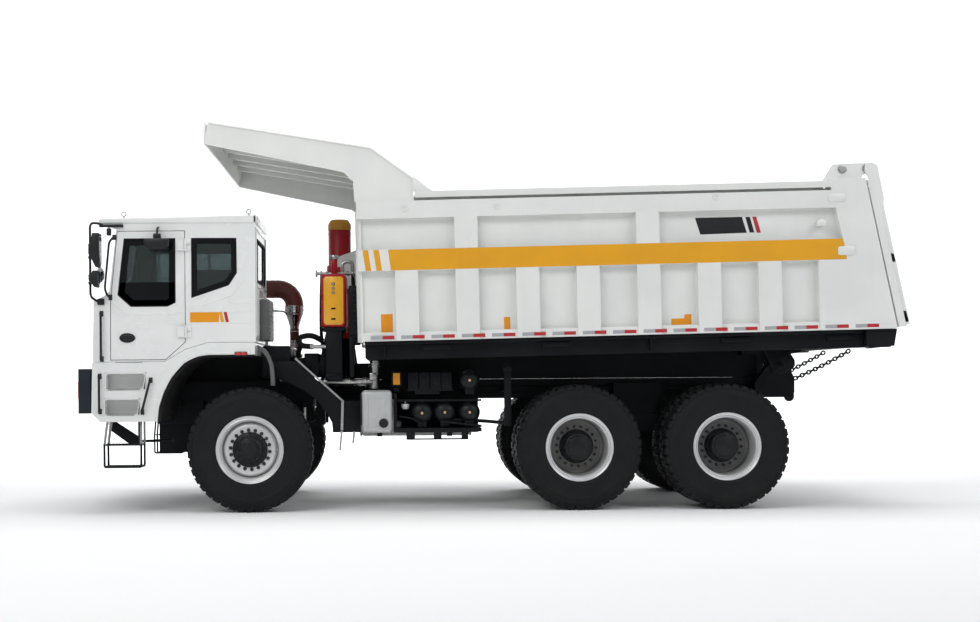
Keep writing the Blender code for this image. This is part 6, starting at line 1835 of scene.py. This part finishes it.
# ---------------------------------------------------------------- stage, light and view
def studio_floor():
    """A pale sweep: floor, then a wide curve up to the backdrop."""
    shape = bmesh.new()
    line = [(-60.0, 0.0), (14.0, 0.0), (20.0, 0.8), (25.0, 3.5), (28.0, 8.0), (29.0, 14.0), (29.2, 40.0)]
    edge = [shape.verts.new((-60.0, y, z)) for y, z in line]
    edges = [shape.edges.new(pair) for pair in zip(edge, edge[1:])]
    moved = bmesh.ops.extrude_edge_only(shape, edges=edges)["geom"]
    bmesh.ops.translate(shape, vec=(120.0, 0, 0),
                        verts=[v for v in moved if isinstance(v, bmesh.types.BMVert)])
    for face in shape.faces:
        face.normal_update()
        if face.normal.z < 0 or (face.normal.z < 0.01 and face.normal.y > 0):
            face.normal_flip()
    mesh = bpy.data.meshes.new("studio_floor")
    shape.to_mesh(mesh)
    shape.free()
    for face in mesh.polygons:
        face.use_smooth = True
    made = bpy.data.objects.new("studio_floor", mesh)
    bpy.context.scene.collection.objects.link(made)
    finish, tree, shader = started("studio_floor_pale")
    place = put(tree, "ShaderNodeTexCoord").outputs["Object"]
    soft = put(tree, "ShaderNodeTexNoise", {"Vector": place, "Scale": 0.4, "Detail": 3.0}).outputs[0]
    join_up(tree, shader, Base_Color=blended(tree, soft, (0.93, 0.93, 0.925), (0.95, 0.95, 0.95)))
    shader.inputs["Roughness"].default_value = 0.9
    shader.inputs["Specular IOR Level"].default_value = 0.05
    # The sweep shows from its lit side only, so a view from behind it still sees the truck
    side = put(tree, "ShaderNodeNewGeometry").outputs["Backfacing"]
    clear = put(tree, "ShaderNodeBsdfTransparent").outputs[0]
    chosen = tree.nodes.new("ShaderNodeMixShader")
    ends = next(n for n in tree.nodes if n.type == "OUTPUT_MATERIAL")
    tree.links.new(side, chosen.inputs[0])
    tree.links.new(shader.outputs[0], chosen.inputs[1])
    tree.links.new(clear, chosen.inputs[2])
    tree.links.new(chosen.outputs[0], ends.inputs["Surface"])
    mesh.materials.append(finish)


def soft_light(name, place, aim, size, power, colour=(1, 1, 1)):
    lamp = bpy.data.lights.new(name, "AREA")
    lamp.shape = "RECTANGLE"
    lamp.size, lamp.size_y = size
    lamp.energy = power
    lamp.color = colour
    made = bpy.data.objects.new(name, lamp)
    made.location = place
    made.rotation_euler = (Vector(aim) - Vector(place)).to_track_quat("-Z", "Y").to_euler()
    made.visible_camera = False
    bpy.context.scene.collection.objects.link(made)


studio_floor()
soft_light("overhead_bank", (0.0, -1.0, 12.0), (0, 0, 1.5), (13.0, 6.0), 850, (1.0, 1.0, 1.0))
soft_light("front_left_bank", (-8.0, -12.5, 10.5), (-1.0, 0, 1.8), (9.0, 5.0), 650, (1.0, 0.99, 0.97))
soft_light("rear_left_bank", (10.0, -12.0, 10.0), (1.0, 0, 1.8), (8.0, 5.0), 420, (0.97, 0.99, 1.0))
soft_light("backdrop_bank", (0.0, 11.0, 10.0), (0, 27.0, 5.0), (50.0, 8.0), 5200)
soft_light("far_side_bank", (2.0, 13.0, 9.0), (0, 0, 2.0), (12.0, 6.0), 420)
soft_light("floor_bank", (0.0, 10.5, 7.0), (0, 10.5, 0.0), (44.0, 3.0), 900)

sky = bpy.data.worlds.new("studio_air")
sky.use_nodes = True
sky.node_tree.nodes["Background"].inputs["Color"].default_value = (0.93, 0.96, 1.0, 1.0)
sky.node_tree.nodes["Background"].inputs["Strength"].default_value = 0.42
bpy.context.scene.world = sky
bpy.context.scene.view_settings.view_transform = "Standard"

lens = bpy.data.cameras.new("side_view")
lens.sensor_width = 36.0
lens.lens = 55.62
lens.shift_x = 0.10
lens.shift_y = 0.0714
lens.clip_end = 200.0
camera = bpy.data.objects.new("side_view", lens)
camera.matrix_world = (Matrix.Translation((-1.178, -19.8, 1.55)) @ Matrix.Rotation(math.radians(0.43), 4, "Y")
                       @ Matrix.Rotation(math.radians(90), 4, "X"))
bpy.context.scene.collection.objects.link(camera)
bpy.context.scene.camera = camera

bpy.context.view_layer.update()
